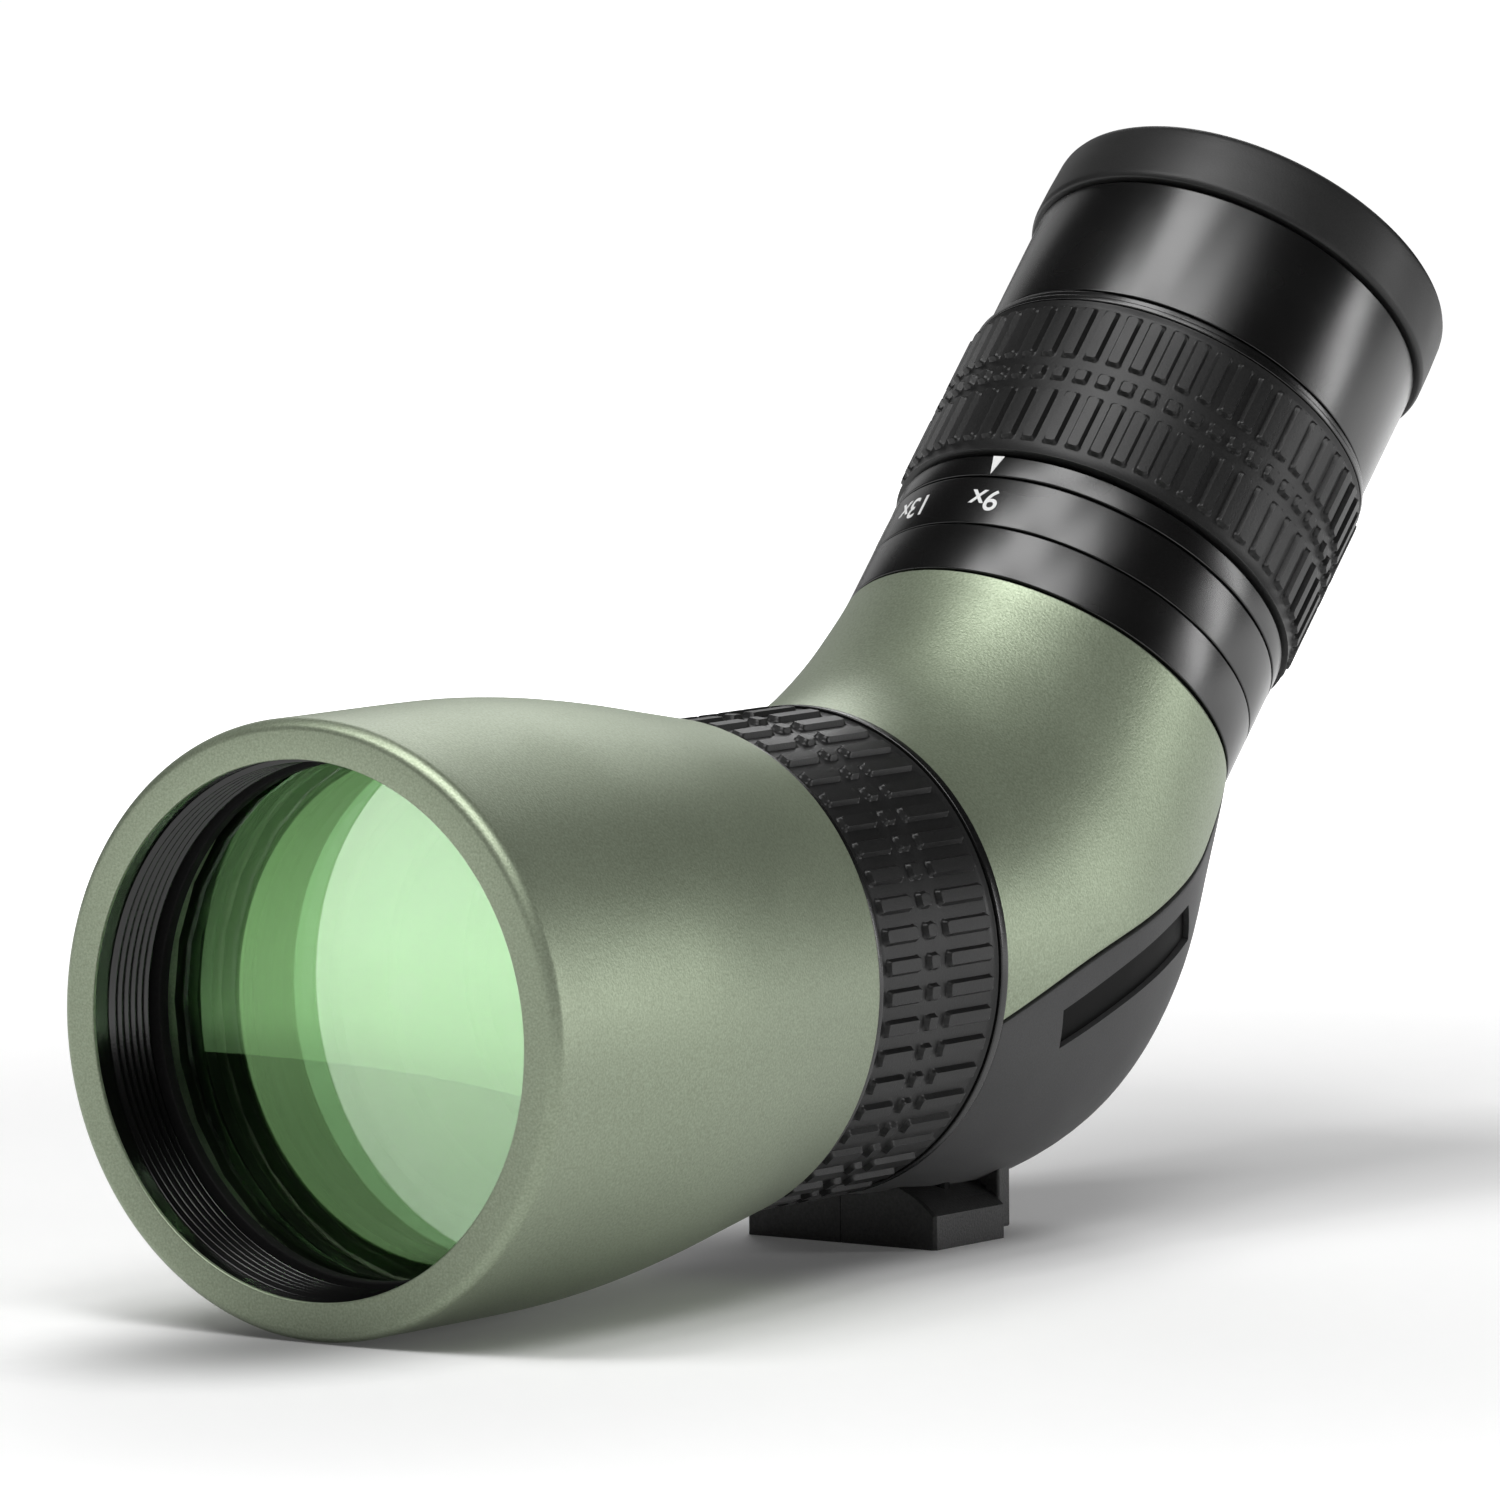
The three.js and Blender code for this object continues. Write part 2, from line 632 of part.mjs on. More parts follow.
// ---- Eyecup ----
const CUP_PIN_STATION = 78;

function makeEyecupGuide() {
  const body = ring(19, 21.4, SLEEVE_START, 89.6, 32);
  const spare = radians(4);
  const groove = helicalCutter(
    21.6,
    PIN_RADIUS + 0.3,
    [-spare, radians(CUP_TURN) + spare],
    [CUP_PIN_STATION, CUP_PIN_STATION + CUP_LIFT],
    8,
  );
  return body.subtract(groove);
}

const makeEyecupLiftRing = () => ring(21.8, 22.6, 80.2, 82.4, 32);
const makeEyecupPin = () => radialPin(PIN_RADIUS - 0.2, CUP_PIN_STATION, 0, 20.8, 22.6);

function makeEyecupSleeve() {
  return turned([
    [22.9, SLEEVE_START], [23.75, SLEEVE_START], [SLEEVE_RADIUS, SLEEVE_START + 0.2],
    [SLEEVE_RADIUS, 91.2], [23, 91.2], [23, 96.5], [21.8, 96.5], [21.8, 90.2], [22.9, 90.2],
  ], OUTER_FACETS);
}

function makeEyecupRubber() {
  return turned([
    [23.3, CUP_START], [24.6, CUP_START], [CUP_RADIUS, CUP_START + 0.4], [24.7, 95],
    [24.5, 98.5], [24.1, 99.3], [23.4, CUP_END], [18.4, CUP_END], [17, 98.9],
    [18.2, 96.8], [23.3, 96.8],
  ], OUTER_FACETS);
}

// ---- Assembly ----
function place(parent, name, solid, material) {
  const mesh = new THREE.Mesh(geometryOf(solid), material);
  mesh.name = name;
  parent.add(mesh);
}

const scope = new THREE.Group();
scope.position.set(0, -LENGTH_CENTRE, AXIS_HEIGHT);

place(scope, "barrel_shell", makeBarrelShell(), paint);
place(scope, "filter_thread_sleeve", makeFilterThreadSleeve(), anodised);
place(scope, "objective_retaining_ring", makeRetainingRing(), anodised);
place(scope, "objective_seal", makeObjectiveSeal(), rubber);
place(scope, "objective_crown_lens", makeCrownLens(), crown);
place(scope, "objective_spacer", makeObjectiveSpacer(), anodised);
place(scope, "objective_flint_lens", makeFlintLens(), flint);
place(scope, "light_baffle", makeLightBaffle(), anodised);

place(scope, "focus_guide_tube", makeFocusGuideTube(), anodised);
place(scope, "focus_ring", makeFocusRing(), anodised);
place(scope, "focus_grip_rubber", makeFocusGrip(), rubber);
place(scope, "focus_lens_cell", makeFocusCell(), anodised);
place(scope, "focus_lens", makeFocusLens(), clear);
place(scope, "focus_lens_retainer", makeFocusRetainer(), anodised);
place(scope, "focus_pin", makeFocusPin(), steel);

place(scope, "prism_housing", makePrismHousing(), paint);
place(scope, "belly_cover", makeBellyCover(), rubber);
place(scope, "name_plate", makeNamePlate(), blackPlastic);
place(scope, "tripod_foot", makeTripodFoot(), blackPlastic);
place(scope, "thread_insert", makeThreadInsert(), brass);
for (const [side, x] of footScrewSides) {
  place(scope, `foot_screw_${side}`, makeFootScrew(x), steel);
}
place(scope, "roof_prism", makeRoofPrism(), clear);
place(scope, "prism_bracket", makePrismBracket(), anodised);
place(scope, "prism_clamp", makePrismClamp(), steel);
for (const [side, x] of clampSides) {
  place(scope, `clamp_screw_${side}`, makeClampScrew(x), steel);
}

const eyepiece = new THREE.Group();
eyepiece.position.set(0, BEND_STATION, 0);
eyepiece.rotation.x = EYEPIECE_TILT;
scope.add(eyepiece);

place(eyepiece, "eyepiece_collar", makeEyepieceCollar(), anodised);
place(eyepiece, "scale_ring", makeScaleRing(), anodised);
place(eyepiece, "eyepiece_tube", makeEyepieceTube(), anodised);
place(eyepiece, "field_stop", makeFieldStop(), anodised);
place(eyepiece, "zoom_ring", makeZoomRing(), anodised);
place(eyepiece, "zoom_grip_rubber", makeZoomGrip(), rubber);
place(eyepiece, "zoom_cam_tube", makeZoomCamTube(), brass);
place(eyepiece, "zoom_drive_screw", makeZoomDriveScrew(), steel);
place(eyepiece, "zoom_front_cell", makeZoomCell(ZOOM_FRONT_STATION), anodised);
place(eyepiece, "zoom_front_lens", makeZoomLens(ZOOM_FRONT_STATION, -1, 0.9), clear);
place(eyepiece, "zoom_front_pin", makeZoomPin(zoomGroups[0]), steel);
place(eyepiece, "zoom_rear_cell", makeZoomCell(ZOOM_REAR_STATION), anodised);
place(eyepiece, "zoom_rear_lens", makeZoomLens(ZOOM_REAR_STATION, 1.2, -1.4), clear);
place(eyepiece, "zoom_rear_pin", makeZoomPin(zoomGroups[1]), steel);
place(eyepiece, "eye_lens", makeEyeLens(), clear);
place(eyepiece, "eye_lens_retainer", makeEyeLensRetainer(), anodised);
place(eyepiece, "eyecup_guide", makeEyecupGuide(), blackPlastic);
place(eyepiece, "eyecup_lift_ring", makeEyecupLiftRing(), brass);
place(eyepiece, "eyecup_sleeve", makeEyecupSleeve(), anodised);
place(eyepiece, "eyecup_pin", makeEyecupPin(), steel);
place(eyepiece, "eyecup_rubber", makeEyecupRubber(), rubber);

export default scope;
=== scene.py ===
"""Angled spotting scope: detailed meshes, materials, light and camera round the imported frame.

Pieces are drawn in millimetres about one of two axes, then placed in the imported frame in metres:
SCOPE has local Y along the optical axis, with stations from the front rim, and EYEPIECE has
local Y along the eyepiece axis, with stations from the bend.
"""

import bisect
import json
import math

import bmesh
import bpy
from mathutils import Matrix, Vector


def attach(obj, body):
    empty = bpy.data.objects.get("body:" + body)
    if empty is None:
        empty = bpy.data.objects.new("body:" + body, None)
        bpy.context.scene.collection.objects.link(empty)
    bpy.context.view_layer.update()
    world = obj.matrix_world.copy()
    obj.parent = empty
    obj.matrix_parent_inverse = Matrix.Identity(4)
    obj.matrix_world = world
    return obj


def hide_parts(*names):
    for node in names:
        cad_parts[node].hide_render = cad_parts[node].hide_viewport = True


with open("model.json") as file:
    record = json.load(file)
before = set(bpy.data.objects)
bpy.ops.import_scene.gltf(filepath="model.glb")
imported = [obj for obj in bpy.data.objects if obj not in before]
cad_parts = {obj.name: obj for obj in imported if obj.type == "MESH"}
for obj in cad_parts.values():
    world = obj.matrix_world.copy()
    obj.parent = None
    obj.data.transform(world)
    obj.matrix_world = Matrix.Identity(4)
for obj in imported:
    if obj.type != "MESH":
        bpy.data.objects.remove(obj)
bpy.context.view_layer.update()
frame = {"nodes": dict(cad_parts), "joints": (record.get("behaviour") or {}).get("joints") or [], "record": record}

MM = 0.001
joints = {joint["name"]: joint for joint in frame["joints"]}
bend_point = Vector(joints["eyecup_twist"]["pos_m"])
eye_axis = Vector(joints["eyecup_twist"]["axis"])
EYEPIECE_TILT = math.atan2(eye_axis.z, eye_axis.y)
# Where the optical axis meets the eyepiece's, as a station and as a height above the floor.
BEND_STATION = 113
AXIS_HEIGHT = bend_point.z / MM

SCOPE = Matrix.Translation(bend_point - Vector((0, BEND_STATION * MM, 0)))
EYEPIECE = Matrix.Translation(bend_point) @ Matrix.Rotation(EYEPIECE_TILT, 4, "X")

# Facets round a turned piece, and round the widest ones.
SMOOTH = 160
EXTRA_SMOOTH = 224


# ---- Materials ----
def link(tree, source, output, target, socket):
    tree.links.new(source.outputs[output], target.inputs[socket])


def noise_node(tree, coordinates, size, detail=2.0):
    """Noise whose features are size metres across."""
    node = tree.nodes.new("ShaderNodeTexNoise")
    node.inputs["Scale"].default_value = 1 / size
    node.inputs["Detail"].default_value = detail
    link(tree, coordinates, "Object", node, "Vector")
    return node


def ranged(tree, source, output, low, high, start=0.3, end=0.7):
    """Maps a texture's middle range onto low to high."""
    node = tree.nodes.new("ShaderNodeMapRange")
    node.inputs["From Min"].default_value = start
    node.inputs["From Max"].default_value = end
    node.inputs["To Min"].default_value = low
    node.inputs["To Max"].default_value = high
    link(tree, source, output, node, "Value")
    return node


def grained(name, dark, light, grain, roughness, bump, sockets=None):
    """A surface whose colour, roughness and relief follow fine grain and a broad, faint variation."""
    material = bpy.data.materials.new(name)
    material.use_nodes = True
    tree = material.node_tree
    shader = tree.nodes["Principled BSDF"]
    for socket, value in (sockets or {}).items():
        shader.inputs[socket].default_value = value
    coordinates = tree.nodes.new("ShaderNodeTexCoord")
    fine = noise_node(tree, coordinates, grain, 3)
    broad = noise_node(tree, coordinates, grain * 60, 2)
    share = tree.nodes.new("ShaderNodeMath")
    share.operation = "MULTIPLY_ADD"
    share.inputs[1].default_value = 0.3
    link(tree, broad, "Fac", share, 0)
    link(tree, ranged(tree, fine, "Fac", 0, 0.7), "Result", share, 2)
    colour = tree.nodes.new("ShaderNodeMix")
    colour.data_type = "RGBA"
    colour.inputs["A"].default_value = (*dark, 1)
    colour.inputs["B"].default_value = (*light, 1)
    link(tree, share, "Value", colour, "Factor")
    link(tree, colour, "Result", shader, "Base Color")
    link(tree, ranged(tree, broad, "Fac", *roughness), "Result", shader, "Roughness")
    relief = tree.nodes.new("ShaderNodeBump")
    relief.inputs["Strength"].default_value = 1
    relief.inputs["Distance"].default_value = bump
    link(tree, fine, "Fac", relief, "Height")
    link(tree, relief, "Normal", shader, "Normal")
    return material


def coated_glass(name, tint, share, spread):
    """Glass that lets most light straight through and throws back tinted light, as coatings do."""
    material = bpy.data.materials.new(name)
    material.use_nodes = True
    tree = material.node_tree
    tree.nodes.remove(tree.nodes["Principled BSDF"])
    out = tree.nodes["Material Output"]
    coordinates = tree.nodes.new("ShaderNodeTexCoord")
    clouds = noise_node(tree, coordinates, 0.02, 1)
    clear = tree.nodes.new("ShaderNodeBsdfTransparent")
    clear.inputs["Color"].default_value = (0.93, 0.98, 0.93, 1)
    coat = tree.nodes.new("ShaderNodeBsdfGlossy")
    coat.inputs["Roughness"].default_value = 0.015
    colour = tree.nodes.new("ShaderNodeMix")
    colour.data_type = "RGBA"
    colour.inputs["A"].default_value = (*tint, 1)
    colour.inputs["B"].default_value = (*[min(1, part + spread) for part in tint], 1)
    link(tree, ranged(tree, clouds, "Fac", 0, 1), "Result", colour, "Factor")
    link(tree, colour, "Result", coat, "Color")
    mix = tree.nodes.new("ShaderNodeMixShader")
    mix.inputs["Fac"].default_value = share
    link(tree, clear, "BSDF", mix, 1)
    link(tree, coat, "BSDF", mix, 2)
    link(tree, mix, "Shader", out, "Surface")
    return material


PAINT = grained(
    "sage_metallic_paint", (0.214, 0.255, 0.175), (0.352, 0.405, 0.297), 0.00028, (0.4, 0.46), 0.00003,
    {"Metallic": 0.7},
)
ANODISED = grained(
    "satin_black_anodised", (0.002, 0.002, 0.002), (0.005, 0.005, 0.005), 0.00018, (0.23, 0.28), 0.000008,
    {"Specular IOR Level": 0.6},
)
RUBBER = grained(
    "grip_rubber", (0.006, 0.006, 0.006), (0.015, 0.015, 0.015), 0.00025, (0.36, 0.46), 0.00002,
    {"Specular IOR Level": 0.34},
)
COVER_RUBBER = grained(
    "cover_rubber", (0.022, 0.022, 0.023), (0.04, 0.04, 0.041), 0.00022, (0.5, 0.6), 0.000015,
    {"Sheen Weight": 0.15, "Sheen Roughness": 0.4},
)
CUP_RUBBER = grained(
    "eyecup_rubber", (0.005, 0.005, 0.005), (0.011, 0.011, 0.011), 0.00022, (0.42, 0.52), 0.000015,
    {"Specular IOR Level": 0.4},
)
CAST = grained(
    "grained_black_cast", (0.012, 0.012, 0.012), (0.04, 0.04, 0.04), 0.0003, (0.36, 0.46), 0.00006,
)
PLATE_BLACK = grained(
    "plain_black_plate", (0.001, 0.001, 0.001), (0.003, 0.003, 0.003), 0.0003, (0.5, 0.6), 0.000005,
    {"Specular IOR Level": 0.1},
)
THREAD_BLACK = grained(
    "ridged_black", (0.001, 0.001, 0.001), (0.003, 0.003, 0.003), 0.0003, (0.15, 0.2), 0.000006,
    {"Specular IOR Level": 0.6},
)
FLOCK = grained(
    "flat_black_inside", (0.003, 0.003, 0.003), (0.007, 0.007, 0.007), 0.0003, (0.7, 0.85), 0.00002,
    {"Specular IOR Level": 0.2},
)
BRASS = grained(
    "turned_brass", (0.45, 0.32, 0.13), (0.62, 0.47, 0.22), 0.0002, (0.25, 0.36), 0.00001,
    {"Metallic": 1.0},
)
STEEL = grained(
    "turned_steel", (0.38, 0.38, 0.39), (0.55, 0.55, 0.56), 0.0002, (0.25, 0.36), 0.00001,
    {"Metallic": 1.0},
)
MARKING = grained(
    "white_marking", (0.68, 0.68, 0.68), (0.84, 0.84, 0.84), 0.0002, (0.45, 0.55), 0.000004,
)
FRONT_COATING = coated_glass("front_coating", (0.5, 1.0, 0.38), 0.13, 0.04)
GREEN_COATING = coated_glass("green_coating", (0.5, 0.92, 0.4), 0.1, 0.06)
THIN_COATING = coated_glass("thin_coating", (0.6, 1.0, 0.58), 0.18, 0.02)
PALE_COATING = coated_glass("pale_coating", (1.0, 0.77, 0.97), 0.64, 0.04)
EYE_GLASS = coated_glass("eyepiece_coating", (0.35, 0.62, 0.45), 0.16, 0.08)

SLOT_LOOKS = {
    "sage_paint": PAINT,
    "black_metal": ANODISED,
    "black_cast": CAST,
    "black_rubber": RUBBER,
    "black_plastic": FLOCK,
    "coated_glass": GREEN_COATING,
    "clear_glass": EYE_GLASS,
    "brass": BRASS,
    "steel": STEEL,
}
NODE_LOOKS = {"foot_screw_left": PLATE_BLACK, "foot_screw_right": PLATE_BLACK}


def dress_cad_nodes():
    """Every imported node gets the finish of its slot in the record, and the foot screws are blacked."""
    for entry in frame["record"]["subparts"]:
        name = entry["node"]
        node = frame["nodes"][name]
        node.data.materials.clear()
        node.data.materials.append(NODE_LOOKS.get(name, SLOT_LOOKS[entry["material_slot"]]))


# ---- Mesh helpers ----
def make_piece(name, points, faces, place, looks, body, slot, stands_for=(), sharp=32):
    """A mesh object from points in millimetres, smooth but for edges sharper than sharp degrees."""
    mesh = bpy.data.meshes.new(name)
    mesh.from_pydata([Vector(point) * MM for point in points], [], faces)
    shape = bmesh.new()
    shape.from_mesh(mesh)
    bmesh.ops.remove_doubles(shape, verts=shape.verts, dist=1e-7)
    bmesh.ops.recalc_face_normals(shape, faces=shape.faces)
    shape.to_mesh(mesh)
    shape.free()
    return finish_piece(name, mesh, place, looks, body, slot, stands_for, sharp)


def finish_piece(name, mesh, place, looks, body, slot, stands_for=(), sharp=32):
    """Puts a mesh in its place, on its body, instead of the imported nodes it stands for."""
    mesh.shade_smooth()
    mesh.set_sharp_from_angle(angle=math.radians(sharp))
    mesh.materials.append(looks)
    piece = bpy.data.objects.new(name, mesh)
    bpy.context.scene.collection.objects.link(piece)
    piece.matrix_world = place
    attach(piece, body)
    if stands_for:
        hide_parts(*stands_for)
    return piece


def rounded(corners, steps=5):
    """A closed [radius, station] outline whose corners with a third value are rounded by it."""
    outline = []
    count = len(corners)
    for i, (radius, station, *fillet) in enumerate(corners):
        corner = Vector((radius, station))
        if not fillet:
            outline.append(corner)
            continue
        before = (Vector(corners[i - 1][:2]) - corner).normalized() * fillet[0]
        after = (Vector(corners[(i + 1) % count][:2]) - corner).normalized() * fillet[0]
        for step in range(steps + 1):
            t = step / steps
            outline.append(corner + before * (1 - t) ** 2 + after * t**2)
    return outline


def smooth_line(knots, steps):
    """Points of a Catmull-Rom curve through the knots."""
    knots = [Vector(knot) for knot in knots]
    ends = [2 * knots[0] - knots[1], *knots, 2 * knots[-1] - knots[-2]]
    line = []
    for i in range(1, len(ends) - 2):
        a, b, c, d = ends[i - 1:i + 3]
        for step in range(steps):
            t = step / steps
            line.append(0.5 * (
                2 * b + (c - a) * t + (2 * a - 5 * b + 4 * c - d) * t**2 + (3 * b - a - 3 * c + d) * t**3
            ))
    return [*line, knots[-1]]


def full_turn(segments):
    return [2 * math.pi * i / segments for i in range(segments)]


def spaced(start, end, steps):
    return [start + (end - start) * i / steps for i in range(steps + 1)]


def around(angle, station, radius):
    """A point by its angle round local Y, its station along it and its distance from it."""
    return (radius * math.sin(angle), station, radius * math.cos(angle))


def loft(rings, closed=True):
    """Faces between equal rings of points; a closed loft joins its last ring to its first."""
    count = len(rings[0])
    points = [point for ring in rings for point in ring]
    faces = []
    for i in range(len(rings) if closed else len(rings) - 1):
        ahead = (i + 1) % len(rings)
        for k in range(count):
            nxt = (k + 1) % count
            faces.append((i * count + k, i * count + nxt, ahead * count + nxt, ahead * count + k))
    return points, faces


def capped(rings):
    """An open loft closed by a face over its first ring and one over its last."""
    points, faces = loft(rings, closed=False)
    count = len(rings[0])
    last = len(points) - count
    return points, [*faces, tuple(range(count)), tuple(range(last, last + count))]


def turned(outline, segments=SMOOTH):
    """Points and faces of a closed [radius, station] outline turned about local Y."""
    return loft([[around(angle, s, r) for r, s in outline] for angle in full_turn(segments)])


def turned_piece(name, corners, place, looks, body, slot, stands_for=(), segments=SMOOTH):
    """A mesh object turned from an outline whose corners may be rounded."""
    return make_piece(name, *turned(rounded(corners), segments), place, looks, body, slot, stands_for)


def relief_sleeve(angles, stations, radius_at, bore):
    """Points and faces of a sleeve with a plain bore and an outside given by radius_at(angle, station)."""
    columns = []
    for angle in angles:
        column = [(bore, stations[0])]
        column += [(radius_at(angle, station), station) for station in stations]
        column.append((bore, stations[-1]))
        columns.append([around(angle, s, r) for r, s in column])
    return loft(columns)


# ---- Grips: three rows of raised pads round a rubber sleeve ----
PAD_BEVEL = 0.32
PAD_CORNER = 0.45
# Distances in from a pad's outline at which its mesh has lines, and one just outside it.
PAD_LINES = (0, 0.16, 0.32, 0.45, 0.75)
PAD_SKIRT = 0.12
# The rubber's ends rise to a lip over some length, and their last edge is eased down.
LIP_LENGTH = 0.7
EASED_LENGTH = 0.12
EASED_DEPTH = 0.25
LIP_LINES = (0, 0.1, 0.3, LIP_LENGTH)


def pad_height(across, along, half_width, half_length):
    """1 on a pad's flat top, falling to 0 at its rounded outline."""
    x = abs(across) - half_width + PAD_CORNER
    y = abs(along) - half_length + PAD_CORNER
    outside = math.hypot(max(x, 0), max(y, 0)) + min(max(x, y), 0) - PAD_CORNER
    share = min(max(-outside / PAD_BEVEL, 0), 1)
    return share * share * (3 - 2 * share)


def grip(name, node, place, body, bore, base, top, ends, rows, count, half_width, lip):
    """A rubber grip between two end stations, with rows of pads from start to end station.

    The rubber lies between the bore and base radii, and its pads and lips rise above that.
    """
    pitch = 2 * math.pi / count
    edge = [half_width - offset for offset in (*PAD_LINES, -PAD_SKIRT)]
    across = sorted({0, *edge, *[-value for value in edge]})
    angles = [(i * pitch + value / base) for i in range(count) for value in (*across, pitch * base / 2)]
    stations = []
    for offset in LIP_LINES:
        stations += [ends[0] + offset, ends[1] - offset]
    for start, end in rows:
        for offset in (-PAD_SKIRT, *PAD_LINES):
            stations += [start + offset, end - offset]
    stations = sorted(set(round(station, 3) for station in stations))

    def radius_at(angle, station):
        share = (angle / pitch + 0.5) % 1 - 0.5
        height = max(
            pad_height(share * pitch * base, station - (start + end) / 2, half_width, (end - start) / 2)
            for start, end in rows
        )
        from_end = min(station - ends[0], ends[1] - station)
        rim = max(0, 1 - from_end / LIP_LENGTH)
        eased = max(0, 1 - from_end / EASED_LENGTH)
        return base + (top - base) * height + lip * rim - EASED_DEPTH * eased

    return make_piece(name, *relief_sleeve(angles, stations, radius_at, bore), place, RUBBER, body,
                      "black_rubber", [node], sharp=60)


# ---- Objective ----
BARREL_TAPER = [
    (33.97, 4), (33.95, 12), (33.9, 22), (33.75, 29), (33.25, 36), (32.5, 42.5), (31.45, 49.5),
    (30.2, 56.5), (28.95, 63.5), (28.5, 66),
]
RIDGE_STATIONS = (8.45, 7.3, 6.15, 5, 3.85, 2.7)
RIDGE_FOOT = 0.42
RIDGE_TIP = 0.08
SLEEVE_BORE = 29.6
RIDGE_BORE = 28.98
LENS_RADIUS = 30.4
# How far the rear face of the crown lens leans, in millimetres along the axis for each one up.
LENS_LEAN = 0.021


def make_objective():
    taper = [tuple(point) for point in smooth_line(BARREL_TAPER, 6)]
    barrel = [
        (29.5, -0.6, 0.2), (33.1, -0.6, 0.5), (34, 0.4, 0.7), *taper[:-1], (28.45, 66, 0.3),
        (26.9, 66), (29, 46), (30.5, 36), (30.5, 26.5), (28.6, 26.5), (28.6, 23.4), (30.9, 23.4),
        (30.9, -0.15), (29.5, -0.15),
    ]
    turned_piece("barrel_paintwork", barrel, SCOPE, PAINT, "scope_body", "sage_paint", ["barrel_shell"],
                 EXTRA_SMOOTH)

    ridges = []
    for station in RIDGE_STATIONS:
        ridges += [
            (SLEEVE_BORE, station + RIDGE_FOOT, RIDGE_TIP), (RIDGE_BORE, station + RIDGE_TIP, RIDGE_TIP),
            (RIDGE_BORE, station - RIDGE_TIP, RIDGE_TIP), (SLEEVE_BORE, station - RIDGE_FOOT, RIDGE_TIP),
        ]
    sleeve = [(30.6, -0.1), (30.6, 9.4), (SLEEVE_BORE, 9.4), *ridges, (SLEEVE_BORE, -0.1)]
    turned_piece("ridged_front_sleeve", sleeve, SCOPE, THREAD_BLACK, "scope_body", "black_metal",
                 ["filter_thread_sleeve"], EXTRA_SMOOTH)

    ring = [(28.4, 9.7, 0.3), (30.6, 9.7), (30.6, 10), (29.4, 10), (29.4, 11), (30.6, 11), (30.6, 11.3),
            (28.4, 11.3, 0.2)]
    turned_piece("lens_retaining_ring", ring, SCOPE, FLOCK, "scope_body", "black_metal",
                 ["objective_retaining_ring"])

    lens_piece("crown_lens", "objective_crown_lens", SCOPE, LENS_RADIUS, (12, 0.8), (13.1, -4),
               (FRONT_COATING, GREEN_COATING, FLOCK), "coated_glass", LENS_LEAN)
    lens_piece("flint_lens", "objective_flint_lens", SCOPE, LENS_RADIUS, (17.2, 0.1), (19.4, -0.3),
               (THIN_COATING, PALE_COATING, FLOCK), "coated_glass")

    fins = []
    for station, radius in ((46.4, 25.2), (37.4, 26.3), (28.4, 27.4)):
        fins += [(radius - 0.2, station + 1, 0.1), (radius - 1.2, station + 0.4, 0.1), (radius, station)]
    baffle = [(27.4, 27.4), (30.1, 27.4), (30.1, 28.6), (28.4, 28.6), (24.9, 58.4), (23.6, 58.4), *fins]
    turned_piece("light_baffle_tube", baffle, SCOPE, FLOCK, "scope_body", "black_metal", ["light_baffle"])


def lens_piece(name, node, place, radius, front, rear, looks, slot, rear_lean=0.0):
    """A lens between two arcs, each given by its edge's station and its bulge towards the front.

    With three looks, the first is on the front, the second on the rear and the third on the rim.
    """
    steps = 16
    segments = 128

    def face(edge, bulge):
        return [(radius * i / steps, edge - bulge * (1 - (i / steps) ** 2)) for i in range(steps + 1)]

    outline = [(r, s, 0) for r, s in face(*front)]
    outline += [(r, s, rear_lean) for r, s in face(*rear)[::-1]]
    rings = []
    for r, s, lean in outline[1:-1]:
        rings.append([around(turn, s + lean * r * math.cos(turn), r) for turn in full_turn(segments)])
    points, faces = loft(rings, closed=False)
    middle = len(points)
    points += [(0, outline[0][1], 0), (0, outline[-1][1], 0)]
    last = middle - segments
    for k in range(segments):
        ahead = (k + 1) % segments
        faces += [(middle, k, ahead), (middle + 1, last + ahead, last + k)]
    lens = make_piece(name, points, faces, place, looks[0], "scope_body", slot, [node])
    for extra in looks[1:]:
        lens.data.materials.append(extra)
    if len(looks) > 1:
        for polygon in lens.data.polygons:
            facing = polygon.normal.y
            polygon.material_index = 0 if facing < -0.5 else 1 if facing > 0.5 else 2


# ---- Focus ring ----
def make_focus_ring():
    ring = [
        (23.3, 66.3), (28, 66.3, 0.35), (28, 67.35, 0.2), (26, 67.35), (26, 90.1), (27.85, 90.1, 0.2),
        (27.85, 91.5, 0.4), (23.3, 91.5),
    ]
    turned_piece("focus_ring_body", ring, SCOPE, ANODISED, "focus_wheel", "black_metal", ["focus_ring"])
    rows = [(68.75, 75.05), (76.4, 78.55), (80.15, 88.7)]
    grip("focus_grip", "focus_grip_rubber", SCOPE, "focus_wheel", bore=26.1, base=27.3, top=27.92,
         ends=(67.45, 90), rows=rows, count=50, half_width=1.0, lip=0.3)


# ---- Prism housing: sections turn about a line above it, from the barrel's axis to the eyepiece's ----
BEND_LINE = Vector((91.65, 65.9))
# Each section: distance of the belly and of the neck from the bend line, and half width.
HOUSING_SECTIONS = [
    (93.1, 38.7, 27.2), (96.0, 38.0, 27.4), (98.3, 37.3, 27.4), (98.4, 36.6, 27.2), (95.2, 36.1, 26.3),
    (89.2, 36.0, 25.1), (84.4, 36.3, 24.05),
]
SEAM = [(88, -8.2), (106, -1.8), (123, 3.2), (133, 6.9), (138, 9.8), (145, 15.5), (156, 26)]
COVER_THICKNESS = 1.6
HOUSING_WALL = 3.3
SEAM_GAP = 0.3
# Half the gap as an angle round the housing, at its mean half width.
SEAM_HALF_ANGLE = SEAM_GAP / 2 / 27
CURVE_STEPS = 12
section_line = smooth_line(HOUSING_SECTIONS, CURVE_STEPS)
seam_line = smooth_line(SEAM, CURVE_STEPS)


